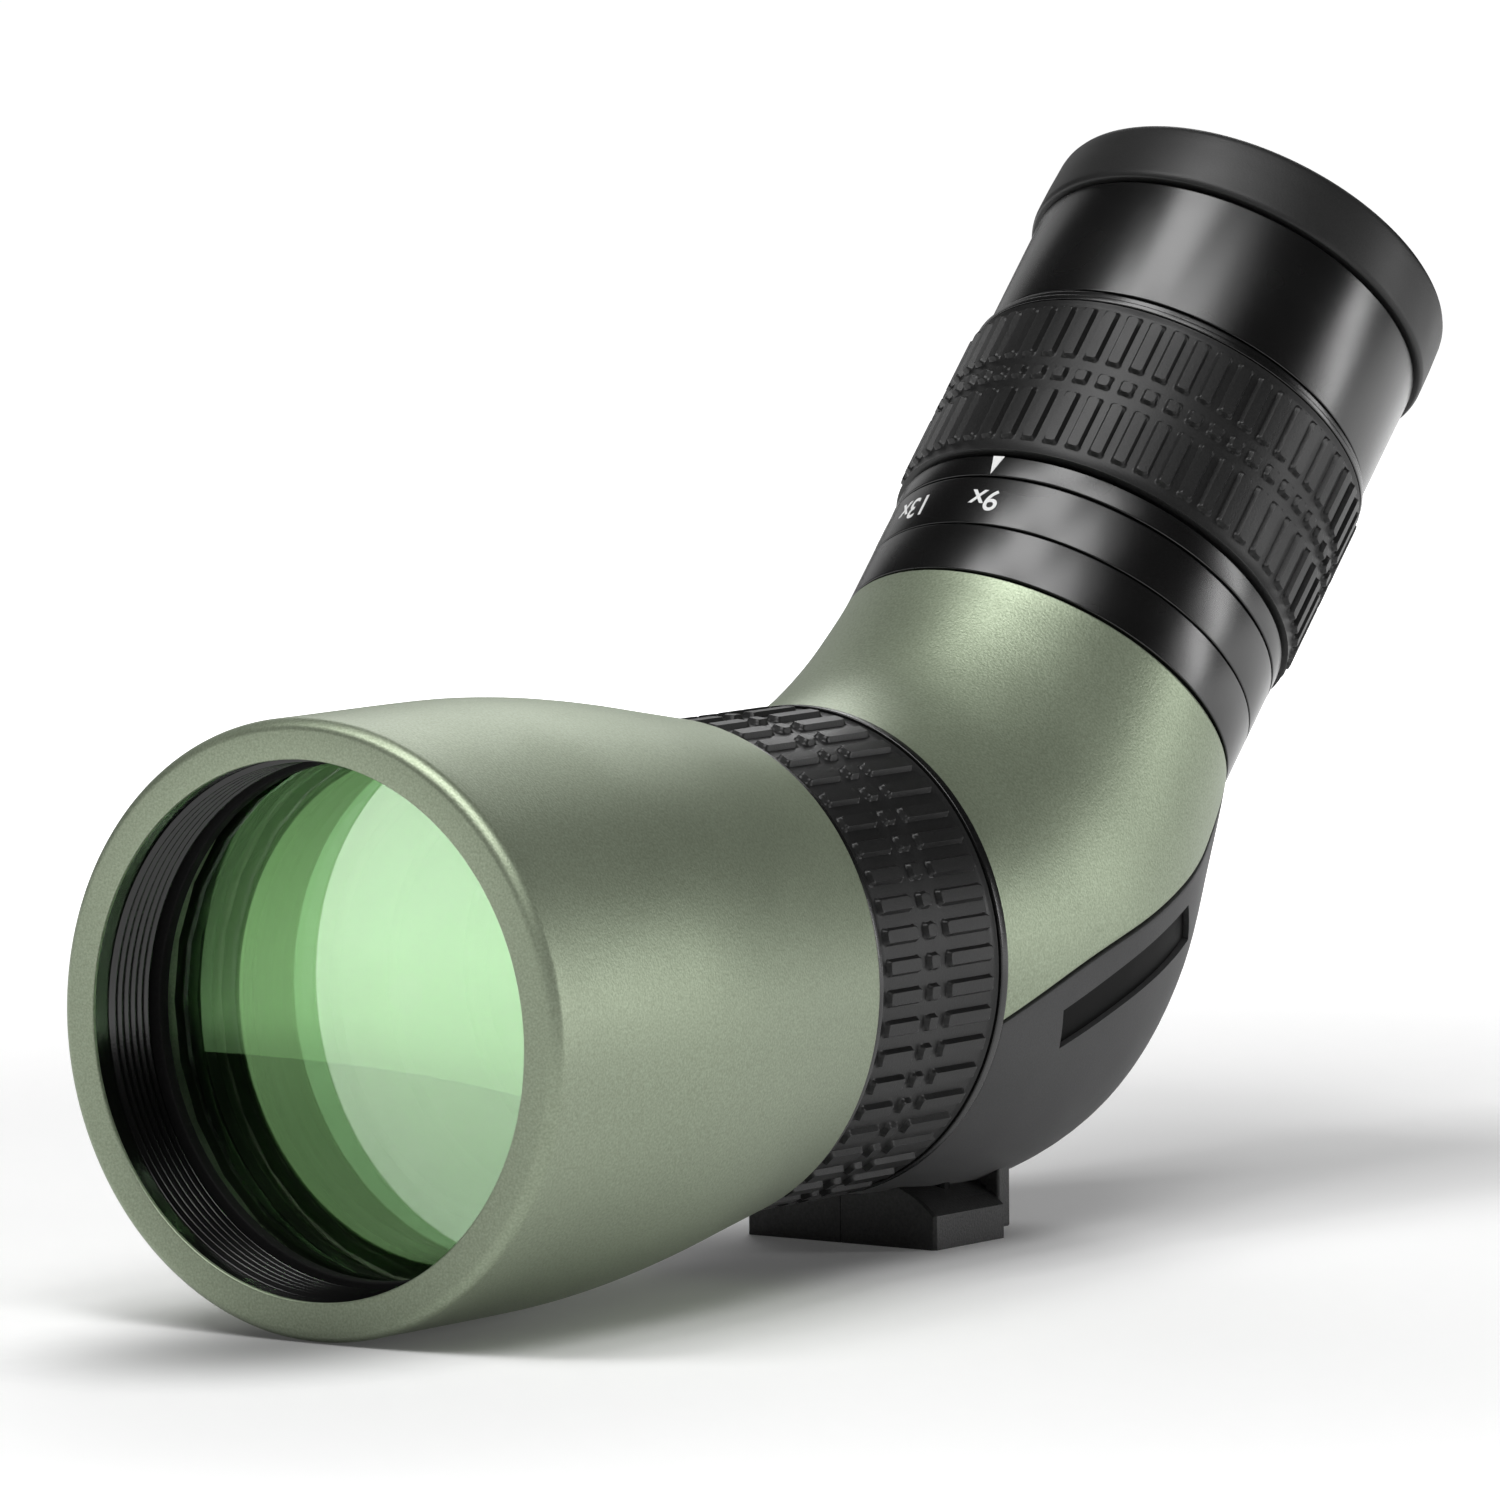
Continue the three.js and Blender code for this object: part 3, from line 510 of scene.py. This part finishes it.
def section_at(share):
    """Belly, neck and half width at a share of the way round the bend."""
    place = min(max(share, 0), 1) * (len(section_line) - 1)
    low = min(int(place), len(section_line) - 2)
    return section_line[low].lerp(section_line[low + 1], place - low)


def housing_point(share, angle, inset=0.0):
    """A point on the housing, angle from the middle of the belly, inset millimetres below the surface."""
    belly, neck, half_width = section_at(share)
    reach = (belly + neck) / 2 + ((belly - neck) / 2 - inset) * math.cos(angle)
    turn = share * EYEPIECE_TILT
    return (
        (half_width - inset) * math.sin(angle),
        BEND_LINE.x + reach * math.sin(turn),
        BEND_LINE.y - reach * math.cos(turn),
    )


def seam_height(station):
    """Height of the seam in the side view."""
    i = min(max(bisect.bisect([point.x for point in seam_line], station), 1), len(seam_line) - 1)
    a, b = seam_line[i - 1], seam_line[i]
    return a.y + (b.y - a.y) * (station - a.x) / (b.x - a.x)


def seam_angle(share):
    """The angle from the belly at which the seam between paint and rubber crosses a section."""
    low, high = 0.2, 2.6
    for _ in range(40):
        middle = (low + high) / 2
        _, station, height = housing_point(share, middle)
        if height < seam_height(station):
            low = middle
        else:
            high = middle
    return low


def section_shares(start, end, count):
    """Shares along the bend, with close ones at both ends for the rounded edges, and each one's inset."""
    edge = [(0, 0.45), (0.0012, 0.2), (0.003, 0.07), (0.006, 0)]
    first = [(start + step, inset) for step, inset in edge]
    last = [(end - step, inset) for step, inset in reversed(edge)]
    middle = [(share, 0) for share in spaced(start + 0.01, end - 0.01, count)]
    return first + middle + last


# Angle from an edge along the seam, and how far the rounded edge lies below the surface there.
EDGE_INSETS = ((0, 0.5), (0.0015, 0.2), (0.005, 0.06), (0.012, 0))
# The angle at which the plain surface starts.
EDGE_ANGLE = 0.02
SHARES = section_shares(0.005, 0.993, 72)


def make_housing():
    outside = []
    for share, inset in SHARES:
        seam = seam_angle(share) + SEAM_HALF_ANGLE
        under = [(angle, COVER_THICKNESS + SEAM_GAP) for angle in spaced(0, seam, 12)]
        edge = [(seam + step, extra + inset) for step, extra in EDGE_INSETS]
        crown = [(angle, inset) for angle in spaced(seam + EDGE_ANGLE, math.pi, 40)]
        half = under + edge + crown
        ring = half + [(-angle, depth) for angle, depth in half[-2:0:-1]]
        outside.append([housing_point(share, angle, depth) for angle, depth in ring])
    count = len(outside[0])
    inside = []
    for share, _ in (SHARES[0], *SHARES[4:-4:6], SHARES[-1]):
        inside.append([housing_point(share, angle, HOUSING_WALL) for angle in full_turn(count)])
    points, faces = loft(outside + inside[::-1])
    make_piece("prism_housing_paintwork", points, faces, SCOPE, PAINT, "scope_body", "sage_paint",
               ["prism_housing"])


def cover_rings():
    """Closed sections of the cover: out along its face and back along its inside."""
    rings = []
    for share, inset in SHARES:
        seam = seam_angle(share) - SEAM_HALF_ANGLE
        edge = [(seam - step, extra + inset) for step, extra in EDGE_INSETS]
        span = seam - EDGE_ANGLE
        face = [(angle, inset) for angle in spaced(span, -span, 56)]
        back = [(angle, COVER_THICKNESS) for angle in spaced(-seam, seam, 24)]
        outer = edge + face + [(-angle, depth) for angle, depth in reversed(edge)]
        rings.append([housing_point(share, angle, depth) for angle, depth in outer + back])
    return rings


# Corners of the blank name plate's recess on the +X flank, as [station, height] in the side view.
PLATE_CORNERS = [(104.3, -10.9), (103.4, -6.4), (130.6, 2.9), (132.8, -1.4)]


def share_and_angle(station, height):
    """Where the +X flank of the housing has that station and height."""
    offset = Vector((station, height)) - BEND_LINE
    share = math.atan2(offset.x, -offset.y) / EYEPIECE_TILT
    belly, neck, _ = section_at(share)
    cosine = (offset.length - (belly + neck) / 2) / ((belly - neck) / 2)
    return share, math.acos(min(max(cosine, -1), 1))


def flank_block(shrink, outer, inner):
    """A closed block that follows the flank, between two depths below it."""
    corners = [Vector(corner) for corner in PLATE_CORNERS]
    middle = sum(corners, Vector((0, 0))) / 4
    a, b, c, d = [corner + (middle - corner).normalized() * shrink for corner in corners]
    rings = []
    for along in spaced(0, 1, 28):
        low = a.lerp(d, along)
        high = b.lerp(c, along)
        across = [share_and_angle(*low.lerp(high, up)) for up in spaced(0, 1, 6)]
        ring = [housing_point(*place, outer) for place in across]
        ring += [housing_point(*place, inner) for place in reversed(across)]
        rings.append(ring)
    return capped(rings)


def cut(piece, points, faces):
    """Takes a closed block away from a piece."""
    tool_mesh = bpy.data.meshes.new("tool")
    tool_mesh.from_pydata([Vector(point) * MM for point in points], [], faces)
    shape = bmesh.new()
    shape.from_mesh(tool_mesh)
    bmesh.ops.recalc_face_normals(shape, faces=shape.faces)
    shape.to_mesh(tool_mesh)
    shape.free()
    tool = bpy.data.objects.new("tool", tool_mesh)
    bpy.context.scene.collection.objects.link(tool)
    tool.matrix_world = piece.matrix_world
    cutter = piece.modifiers.new("cut", "BOOLEAN")
    cutter.operation = "DIFFERENCE"
    cutter.solver = "EXACT"
    cutter.object = tool
    bpy.context.view_layer.update()
    result = bpy.data.meshes.new_from_object(piece.evaluated_get(bpy.context.evaluated_depsgraph_get()))
    piece.modifiers.clear()
    piece.data = result
    bpy.data.objects.remove(tool)
    bpy.data.meshes.remove(tool_mesh)
    result.shade_smooth()
    result.set_sharp_from_angle(angle=math.radians(32))


def make_cover():
    cover = make_piece("belly_cover_rubber", *capped(cover_rings()), SCOPE, COVER_RUBBER, "scope_body",
                       "black_rubber", ["belly_cover"])
    cut(cover, *flank_block(0, -1, 0.95))
    make_piece("blank_name_plate", *flank_block(0.1, 0.7, 0.94), SCOPE, PLATE_BLACK, "scope_body",
               "black_plastic", ["name_plate"])


# ---- Tripod foot ----
FOOT_FRONT = 97.3
FOOT_REAR = 111
FOOT_HALF_WIDTH = 13.2
FOOT_EDGE_HEIGHT = 3.9
FOOT_CENTRE = 104
LUG_REAR = 112.8
LUG_HALF_WIDTH = 12.6
LUG_CLEARANCE = 1.1
SADDLE_HALF_WIDTH = 6.2
SADDLE_HEIGHT = 9.6
SCREW_PLACES = (-9.2, 9.2)
SCREW_RECESS_RADIUS = 2.5
INSERT_RECESS_RADIUS = 5.1
THREAD_CREST = 2.85
THREAD_ROOT = 3.2
THREAD_PITCH = 0.5
THREAD_TURNS = 11


def bevel(piece, width):
    modifier = piece.modifiers.new("bevel", "BEVEL")
    modifier.width = width * MM
    modifier.segments = 3
    modifier.limit_method = "ANGLE"
    modifier.angle_limit = math.radians(30)


def upright(radius, x, y, low, high):
    """Points and faces of an upright round block."""
    turns = full_turn(48)
    return capped([[(x + radius * math.sin(t), y + radius * math.cos(t), z) for t in turns]
                   for z in (low, high)])


def block(half_width, stations, heights):
    """Points and faces of a block across the middle of the scope."""
    start, end = stations
    base = [(-half_width, start), (half_width, start), (half_width, end), (-half_width, end)]
    return capped([[(x, y, z) for x, y in base] for z in heights])


def foot_block(name, half_width, stations, heights):
    """A softly edged block that ties the foot to the belly above it."""
    piece = make_piece(name, *block(half_width, stations, heights), SCOPE, CAST, "scope_body",
                       "black_cast")
    bevel(piece, 0.3)


def make_foot():
    floor = -AXIS_HEIGHT
    edge = floor + FOOT_EDGE_HEIGHT
    half = FOOT_HALF_WIDTH
    slope = [(half, edge), (half - 1.5, edge + 1.25), (half - 3.2, edge + 2.3), (half - 5.6, edge + 3.3),
             (half - 7.6, edge + 3.8)]
    face = [(-half, floor), (half, floor), *slope, *[(-x, z) for x, z in reversed(slope)]]
    corner = 0.35
    sections = [(FOOT_FRONT, corner), (FOOT_FRONT + corner, 0), (FOOT_REAR - corner, 0),
                (FOOT_REAR, corner)]
    rings = []
    for station, inset in sections:
        share = (half - inset) / half
        rings.append([(x * share, station, z) for x, z in face])
    foot = make_piece("tripod_foot_casting", *capped(rings), SCOPE, CAST, "scope_body", "black_cast",
                      ["tripod_foot"], sharp=25)
    for x in SCREW_PLACES:
        cut(foot, *upright(SCREW_RECESS_RADIUS, x, FOOT_CENTRE, floor - 5, floor + 2.4))
    cut(foot, *upright(INSERT_RECESS_RADIUS, 0, FOOT_CENTRE, floor - 5, floor + 6.2))
    cut(foot, *block(0.08, (FOOT_FRONT - 1, FOOT_FRONT + 0.12), (floor - 1, floor + 30)))
    bevel(foot, 0.22)

    foot_block("foot_rear_lug", LUG_HALF_WIDTH, (FOOT_REAR - 0.5, LUG_REAR),
               (floor + LUG_CLEARANCE, floor + 9.2))
    foot_block("foot_saddle", SADDLE_HALF_WIDTH, (FOOT_FRONT + 1, LUG_REAR - 0.6),
               (floor + 6.5, floor + SADDLE_HEIGHT))

    thread = []
    base = floor + 0.2
    for i in range(THREAD_TURNS):
        start = base + i * THREAD_PITCH
        thread += [(THREAD_ROOT, start + 0.3), (THREAD_CREST, start + 0.55)]
    insert = [(4.8, base, 0.15), (4.8, base + 5.6, 0.15), (THREAD_CREST, base + 5.6), *thread[::-1],
              (3.4, base, 0.1)]
    up = SCOPE @ Matrix.Translation((0, FOOT_CENTRE * MM, 0)) @ Matrix.Rotation(math.pi / 2, 4, "X")
    turned_piece("tripod_thread_insert", insert, up, BRASS, "scope_body", "brass", ["thread_insert"], 64)


# ---- Eyepiece ----
def make_eyepiece():
    body = "scope_body"
    collar = [(20.6, 34), (24.07, 34, 0.2), (24.07, 40.42, 0.18), (20.6, 40.42)]
    turned_piece("collar_ring", collar, EYEPIECE, ANODISED, body, "black_metal", ["eyepiece_collar"])
    scale = [(20.6, 40.62), (24.07, 40.62, 0.18), (24.07, 47.25, 0.2), (20.6, 47.25)]
    turned_piece("zoom_scale_ring", scale, EYEPIECE, ANODISED, body, "black_metal", ["scale_ring"])
    # A flat-black ring standing in for the shade in the gap where the collar meets the housing: painted shade, not
    # a gasket.
    shade_ring_outline = [(23.2, 33.2), (23.5, 33.2), (23.5, 35), (23.2, 35)]
    turned_piece("collar_painted_shade_ring", shade_ring_outline, EYEPIECE, FLOCK, body, "black_rubber")

    zoom = [
        (20.6, 47.5), (24.1, 47.5, 0.2), (24.1, 50.25, 0.15), (23.6, 50.45), (22.9, 51), (22.9, 73.1),
        (24.65, 73.1, 0.15), (24.65, 73.75, 0.15), (24.35, 73.85), (24.35, 74.6, 0.25), (20.6, 74.6),
    ]
    turned_piece("zoom_ring_body", zoom, EYEPIECE, ANODISED, "zoom_wheel", "black_metal", ["zoom_ring"])
    rows = [(52.6, 60.2), (61.45, 63.45), (64.75, 72.05)]
    grip("zoom_grip", "zoom_grip_rubber", EYEPIECE, "zoom_wheel", bore=23.0, base=24.4, top=24.98,
         ends=(50.9, 73.05), rows=rows, count=54, half_width=0.95, lip=0.25)

    sleeve = [
        (22.9, 75), (23.95, 75, 0.2), (23.97, 91.25, 0.35), (23, 91.25), (23, 96.5), (21.8, 96.5),
        (21.8, 90.2), (22.9, 90.2),
    ]
    turned_piece("eyecup_sleeve_body", sleeve, EYEPIECE, ANODISED, "eyecup", "black_metal",
                 ["eyecup_sleeve"])
    outer = [tuple(point) for point in smooth_line([(24.75, 92.6), (24.7, 95.2), (24.6, 97.4)], 4)]
    cup = [
        (23.3, 91.5), (24.5, 91.5, 0.25), (24.75, 92.1, 0.25), *outer, (24.5, 99.6, 1.1),
        (18.2, 99.6, 0.6), (16.9, 98.8, 0.4), (18.2, 96.8, 0.3), (23.3, 96.8),
    ]
    turned_piece("eyecup_rubber_rim", cup, EYEPIECE, CUP_RUBBER, "eyecup", "black_rubber",
                 ["eyecup_rubber"])

    lens_piece("eye_lens_glass", "eye_lens", EYEPIECE, 16.8, (80.9, 2), (84.5, -2.2), [EYE_GLASS],
               "clear_glass")
    retainer = [(14.2, 85.2, 0.1), (16.8, 85.2), (16.8, 87.6, 0.1), (15.6, 87.6, 0.2)]
    turned_piece("eye_lens_ring", retainer, EYEPIECE, FLOCK, body, "black_metal", ["eye_lens_retainer"])
    make_guide()


CUP_PIN_STATION = 78
GUIDE_RADIUS = 21.4
GROOVE_DEPTH = 1.3
GROOVE_HALF_WIDTH = 1.5
CUP_LIFT = joints["eyecup_lift"]["range_m"][1] / MM
CUP_TURN = math.radians(joints["eyecup_twist"]["range_deg"][1])


def make_guide():
    """The eyecup's guide tube, with the helical groove that its pin runs in."""
    def radius_at(angle, station):
        share = min(max(angle / CUP_TURN, -0.05), 1.05)
        across = station - CUP_PIN_STATION - CUP_LIFT * share
        beyond = max(0, -angle - 0.07, angle - CUP_TURN - 0.07) * GUIDE_RADIUS
        depth = GROOVE_DEPTH * pad_height(beyond, across, GROOVE_HALF_WIDTH, GROOVE_HALF_WIDTH)
        return GUIDE_RADIUS - depth

    angles = [math.radians(step * 1.5) - 1.2 for step in range(240)]
    stations = spaced(75, 89.6, 60)
    make_piece("eyecup_guide_tube", *relief_sleeve(angles, stations, radius_at, 19), EYEPIECE,
               ANODISED, "scope_body", "black_plastic", ["eyecup_guide"], sharp=50)


# ---- Painted marks on the zoom dial ----
MARK_HEIGHT = 0.035
SCALE_RADIUS = 24.07
SCALE_STATION = 44.1
POINTER_RADIUS = 24.1
POINTER_STATION = 48.95
POINTER_HALF_LENGTH = 1.3
POINTER_HALF_WIDTH = 0.78
POWER_SIZE = 4.1
ZOOM_TURN = joints["zoom_turn"]["range_deg"][1]
POWERS = ("9x", "13x", "18x", "22x", "27x")


def wrap_mark(name, mesh, angle, station, radius, body):
    """Lays a flat mark round the eyepiece, its right-hand side towards smaller angles."""
    shape = bmesh.new()
    shape.from_mesh(mesh)
    bmesh.ops.remove_doubles(shape, verts=shape.verts, dist=1e-4)
    for i in range(-12, 13):
        everything = shape.verts[:] + shape.edges[:] + shape.faces[:]
        bmesh.ops.bisect_plane(shape, geom=everything, plane_co=(i * 0.4, 0, 0), plane_no=(1, 0, 0))
    for vertex in shape.verts:
        x, y, z = vertex.co
        vertex.co = Vector(around(angle - x / radius, station - y, radius + z)) * MM
    bmesh.ops.recalc_face_normals(shape, faces=shape.faces)
    shape.to_mesh(mesh)
    shape.free()
    finish_piece(name, mesh, EYEPIECE, MARKING, body, "black_metal")


def make_marks():
    """The powers on the fixed scale, evenly spread over the ring's turn, and the ring's pointer."""
    step = math.radians(ZOOM_TURN / (len(POWERS) - 1))
    for i, power in enumerate(POWERS):
        text = bpy.data.curves.new("power", "FONT")
        text.body = power
        text.size = POWER_SIZE
        text.extrude = MARK_HEIGHT
        text.offset = 0.03
        text.align_x = "CENTER"
        text.align_y = "CENTER"
        holder = bpy.data.objects.new("power", text)
        bpy.context.scene.collection.objects.link(holder)
        bpy.context.view_layer.update()
        flat = bpy.data.meshes.new_from_object(
            holder.evaluated_get(bpy.context.evaluated_depsgraph_get()))
        bpy.data.objects.remove(holder)
        wrap_mark(f"power_mark_{power}", flat, math.radians(2) - i * step, SCALE_STATION, SCALE_RADIUS,
                  "scope_body")

    flat = bpy.data.meshes.new("pointer")
    outline = [(-POINTER_HALF_WIDTH, -POINTER_HALF_LENGTH), (POINTER_HALF_WIDTH, -POINTER_HALF_LENGTH),
               (0, POINTER_HALF_LENGTH)]
    points = [(x, y, z) for z in (-MARK_HEIGHT, MARK_HEIGHT) for x, y in outline]
    flat.from_pydata(points, [], [(0, 1, 2), (3, 4, 5), (0, 1, 4, 3), (1, 2, 5, 4), (2, 0, 3, 5)])
    wrap_mark("zoom_pointer_mark", flat, 0, POINTER_STATION, POINTER_RADIUS, "zoom_wheel")


# ---- Floor, light and camera ----
FLOOR_RADIUS = 12
# Distances from the scope at which the floor's glow starts and is full, and its two strengths.
GLOW_REACH = (0.13, 0.55)
GLOW_STRENGTH = (0.05, 1.0)
# Middle and half size of the painted contact shadow where the rim meets the floor, and its colour there.
CONTACT_SHADOW_PLACE = (-0.002, -0.102)
CONTACT_SHADOW_SIZE = (0.033, 0.045)
CONTACT_SHADOW_COLOUR = (0.22, 0.22, 0.22, 1)


def floor_looks():
    """A pale floor that shines more and more with distance from the scope, as a lit sweep does, and carries a
    painted contact shadow where the rim meets it.
    """
    looks = grained("pale_floor", (0.95, 0.95, 0.95), (0.98, 0.98, 0.98), 0.004, (0.6, 0.7), 0.00001)
    tree = looks.node_tree
    shader = tree.nodes["Principled BSDF"]
    shader.inputs["Emission Color"].default_value = (1, 1, 1, 1)
    coordinates = tree.nodes.new("ShaderNodeTexCoord")
    distance = tree.nodes.new("ShaderNodeVectorMath")
    distance.operation = "LENGTH"
    link(tree, coordinates, "Object", distance, 0)
    glow = ranged(tree, distance, "Value", *GLOW_STRENGTH, *GLOW_REACH)
    glow.interpolation_type = "SMOOTHSTEP"
    link(tree, glow, "Result", shader, "Emission Strength")

    # Painted contact shadow: inside an ellipse round the rim's contact, the floor's colour darkens towards the
    # contact colour.
    shift = tree.nodes.new("ShaderNodeVectorMath")
    shift.operation = "MULTIPLY_ADD"
    shift.inputs[1].default_value = [*[1 / size for size in CONTACT_SHADOW_SIZE], 0]
    shift.inputs[2].default_value = [*[-at / size for at, size in zip(CONTACT_SHADOW_PLACE, CONTACT_SHADOW_SIZE)], 0]
    link(tree, coordinates, "Object", shift, 0)
    reach = tree.nodes.new("ShaderNodeVectorMath")
    reach.operation = "LENGTH"
    link(tree, shift, "Vector", reach, 0)
    shadow_fade = ranged(tree, reach, "Value", 0, 1, 0, 1)
    shadow_fade.interpolation_type = "SMOOTHSTEP"
    tint = tree.nodes.new("ShaderNodeMix")
    tint.data_type = "RGBA"
    tint.inputs["A"].default_value = CONTACT_SHADOW_COLOUR
    tree.links.new(shader.inputs["Base Color"].links[0].from_socket, tint.inputs["B"])
    link(tree, shadow_fade, "Result", tint, "Factor")
    link(tree, tint, "Result", shader, "Base Color")
    return looks


def make_stage():
    mesh = bpy.data.meshes.new("floor")
    outline = [(FLOOR_RADIUS * math.cos(turn), FLOOR_RADIUS * math.sin(turn), 0)
               for turn in full_turn(72)]
    mesh.from_pydata(outline, [], [tuple(range(len(outline)))])
    mesh.materials.append(floor_looks())
    floor = bpy.data.objects.new("floor", mesh)
    bpy.context.scene.collection.objects.link(floor)


# Azimuth (0 in front of the objective, 90 at +X) and elevation in degrees, width and height in
# metres, and radiance of each soft panel.
PANELS = [
    (330, 58, 0.36, 0.4, 8.0), (0, 78, 0.4, 0.4, 7.6), (30, 58, 0.36, 0.4, 3.7), (50, 58, 0.36, 0.4, 4.8),
    (70, 58, 0.36, 0.4, 1.2), (30, 40, 0.36, 0.3, 1.2), (120, 9, 0.19, 0.34, 1.2),
    (130, 9, 0.19, 0.34, 9.0), (192, 31, 0.4, 0.42, 1.6), (214, 31, 0.4, 0.42, 2.9),
    (236, 20, 0.4, 0.6, 0.55),
]
PANEL_DISTANCE = 1.1
PANEL_TARGET = (0, 0, 0.05)


def softbox(azimuth, elevation, width, height, radiance):
    """A soft panel that faces the scope."""
    light = bpy.data.lights.new("panel", "AREA")
    light.shape = "RECTANGLE"
    light.size, light.size_y = width, height
    light.energy = math.pi * width * height * radiance
    holder = bpy.data.objects.new("panel", light)
    bpy.context.scene.collection.objects.link(holder)
    a, e = math.radians(azimuth), math.radians(elevation)
    away = Vector((math.sin(a) * math.cos(e), -math.cos(a) * math.cos(e), math.sin(e)))
    holder.location = Vector(PANEL_TARGET) + away * PANEL_DISTANCE
    holder.rotation_euler = away.to_track_quat("Z", "Y").to_euler()


def make_light():
    world = bpy.data.worlds.new("studio")
    world.use_nodes = True
    background = world.node_tree.nodes["Background"]
    background.inputs["Color"].default_value = (1, 1, 1, 1)
    background.inputs["Strength"].default_value = 0.02
    bpy.context.scene.world = world
    for panel in PANELS:
        softbox(*panel)
    bpy.context.scene.view_settings.view_transform = "Standard"


CAMERA_AZIMUTH = 36.387
CAMERA_ELEVATION = 5.724
CAMERA_ROLL = -0.49
CAMERA_PLACE = (0.993494, -1.366197, 0.225484)


def make_camera():
    camera = bpy.data.cameras.new("camera")
    camera.sensor_width = 36
    camera.lens = 360
    camera.clip_end = 100
    holder = bpy.data.objects.new("camera", camera)
    bpy.context.scene.collection.objects.link(holder)
    turn = Matrix.Rotation(math.radians(CAMERA_AZIMUTH), 4, "Z")
    tip = Matrix.Rotation(math.radians(90 - CAMERA_ELEVATION), 4, "X")
    roll = Matrix.Rotation(math.radians(CAMERA_ROLL), 4, "Z")
    holder.matrix_world = Matrix.Translation(CAMERA_PLACE) @ turn @ tip @ roll
    bpy.context.scene.camera = holder


make_camera()
dress_cad_nodes()
make_objective()
make_focus_ring()
make_housing()
make_cover()
make_foot()
make_eyepiece()
make_marks()
make_stage()
make_light()
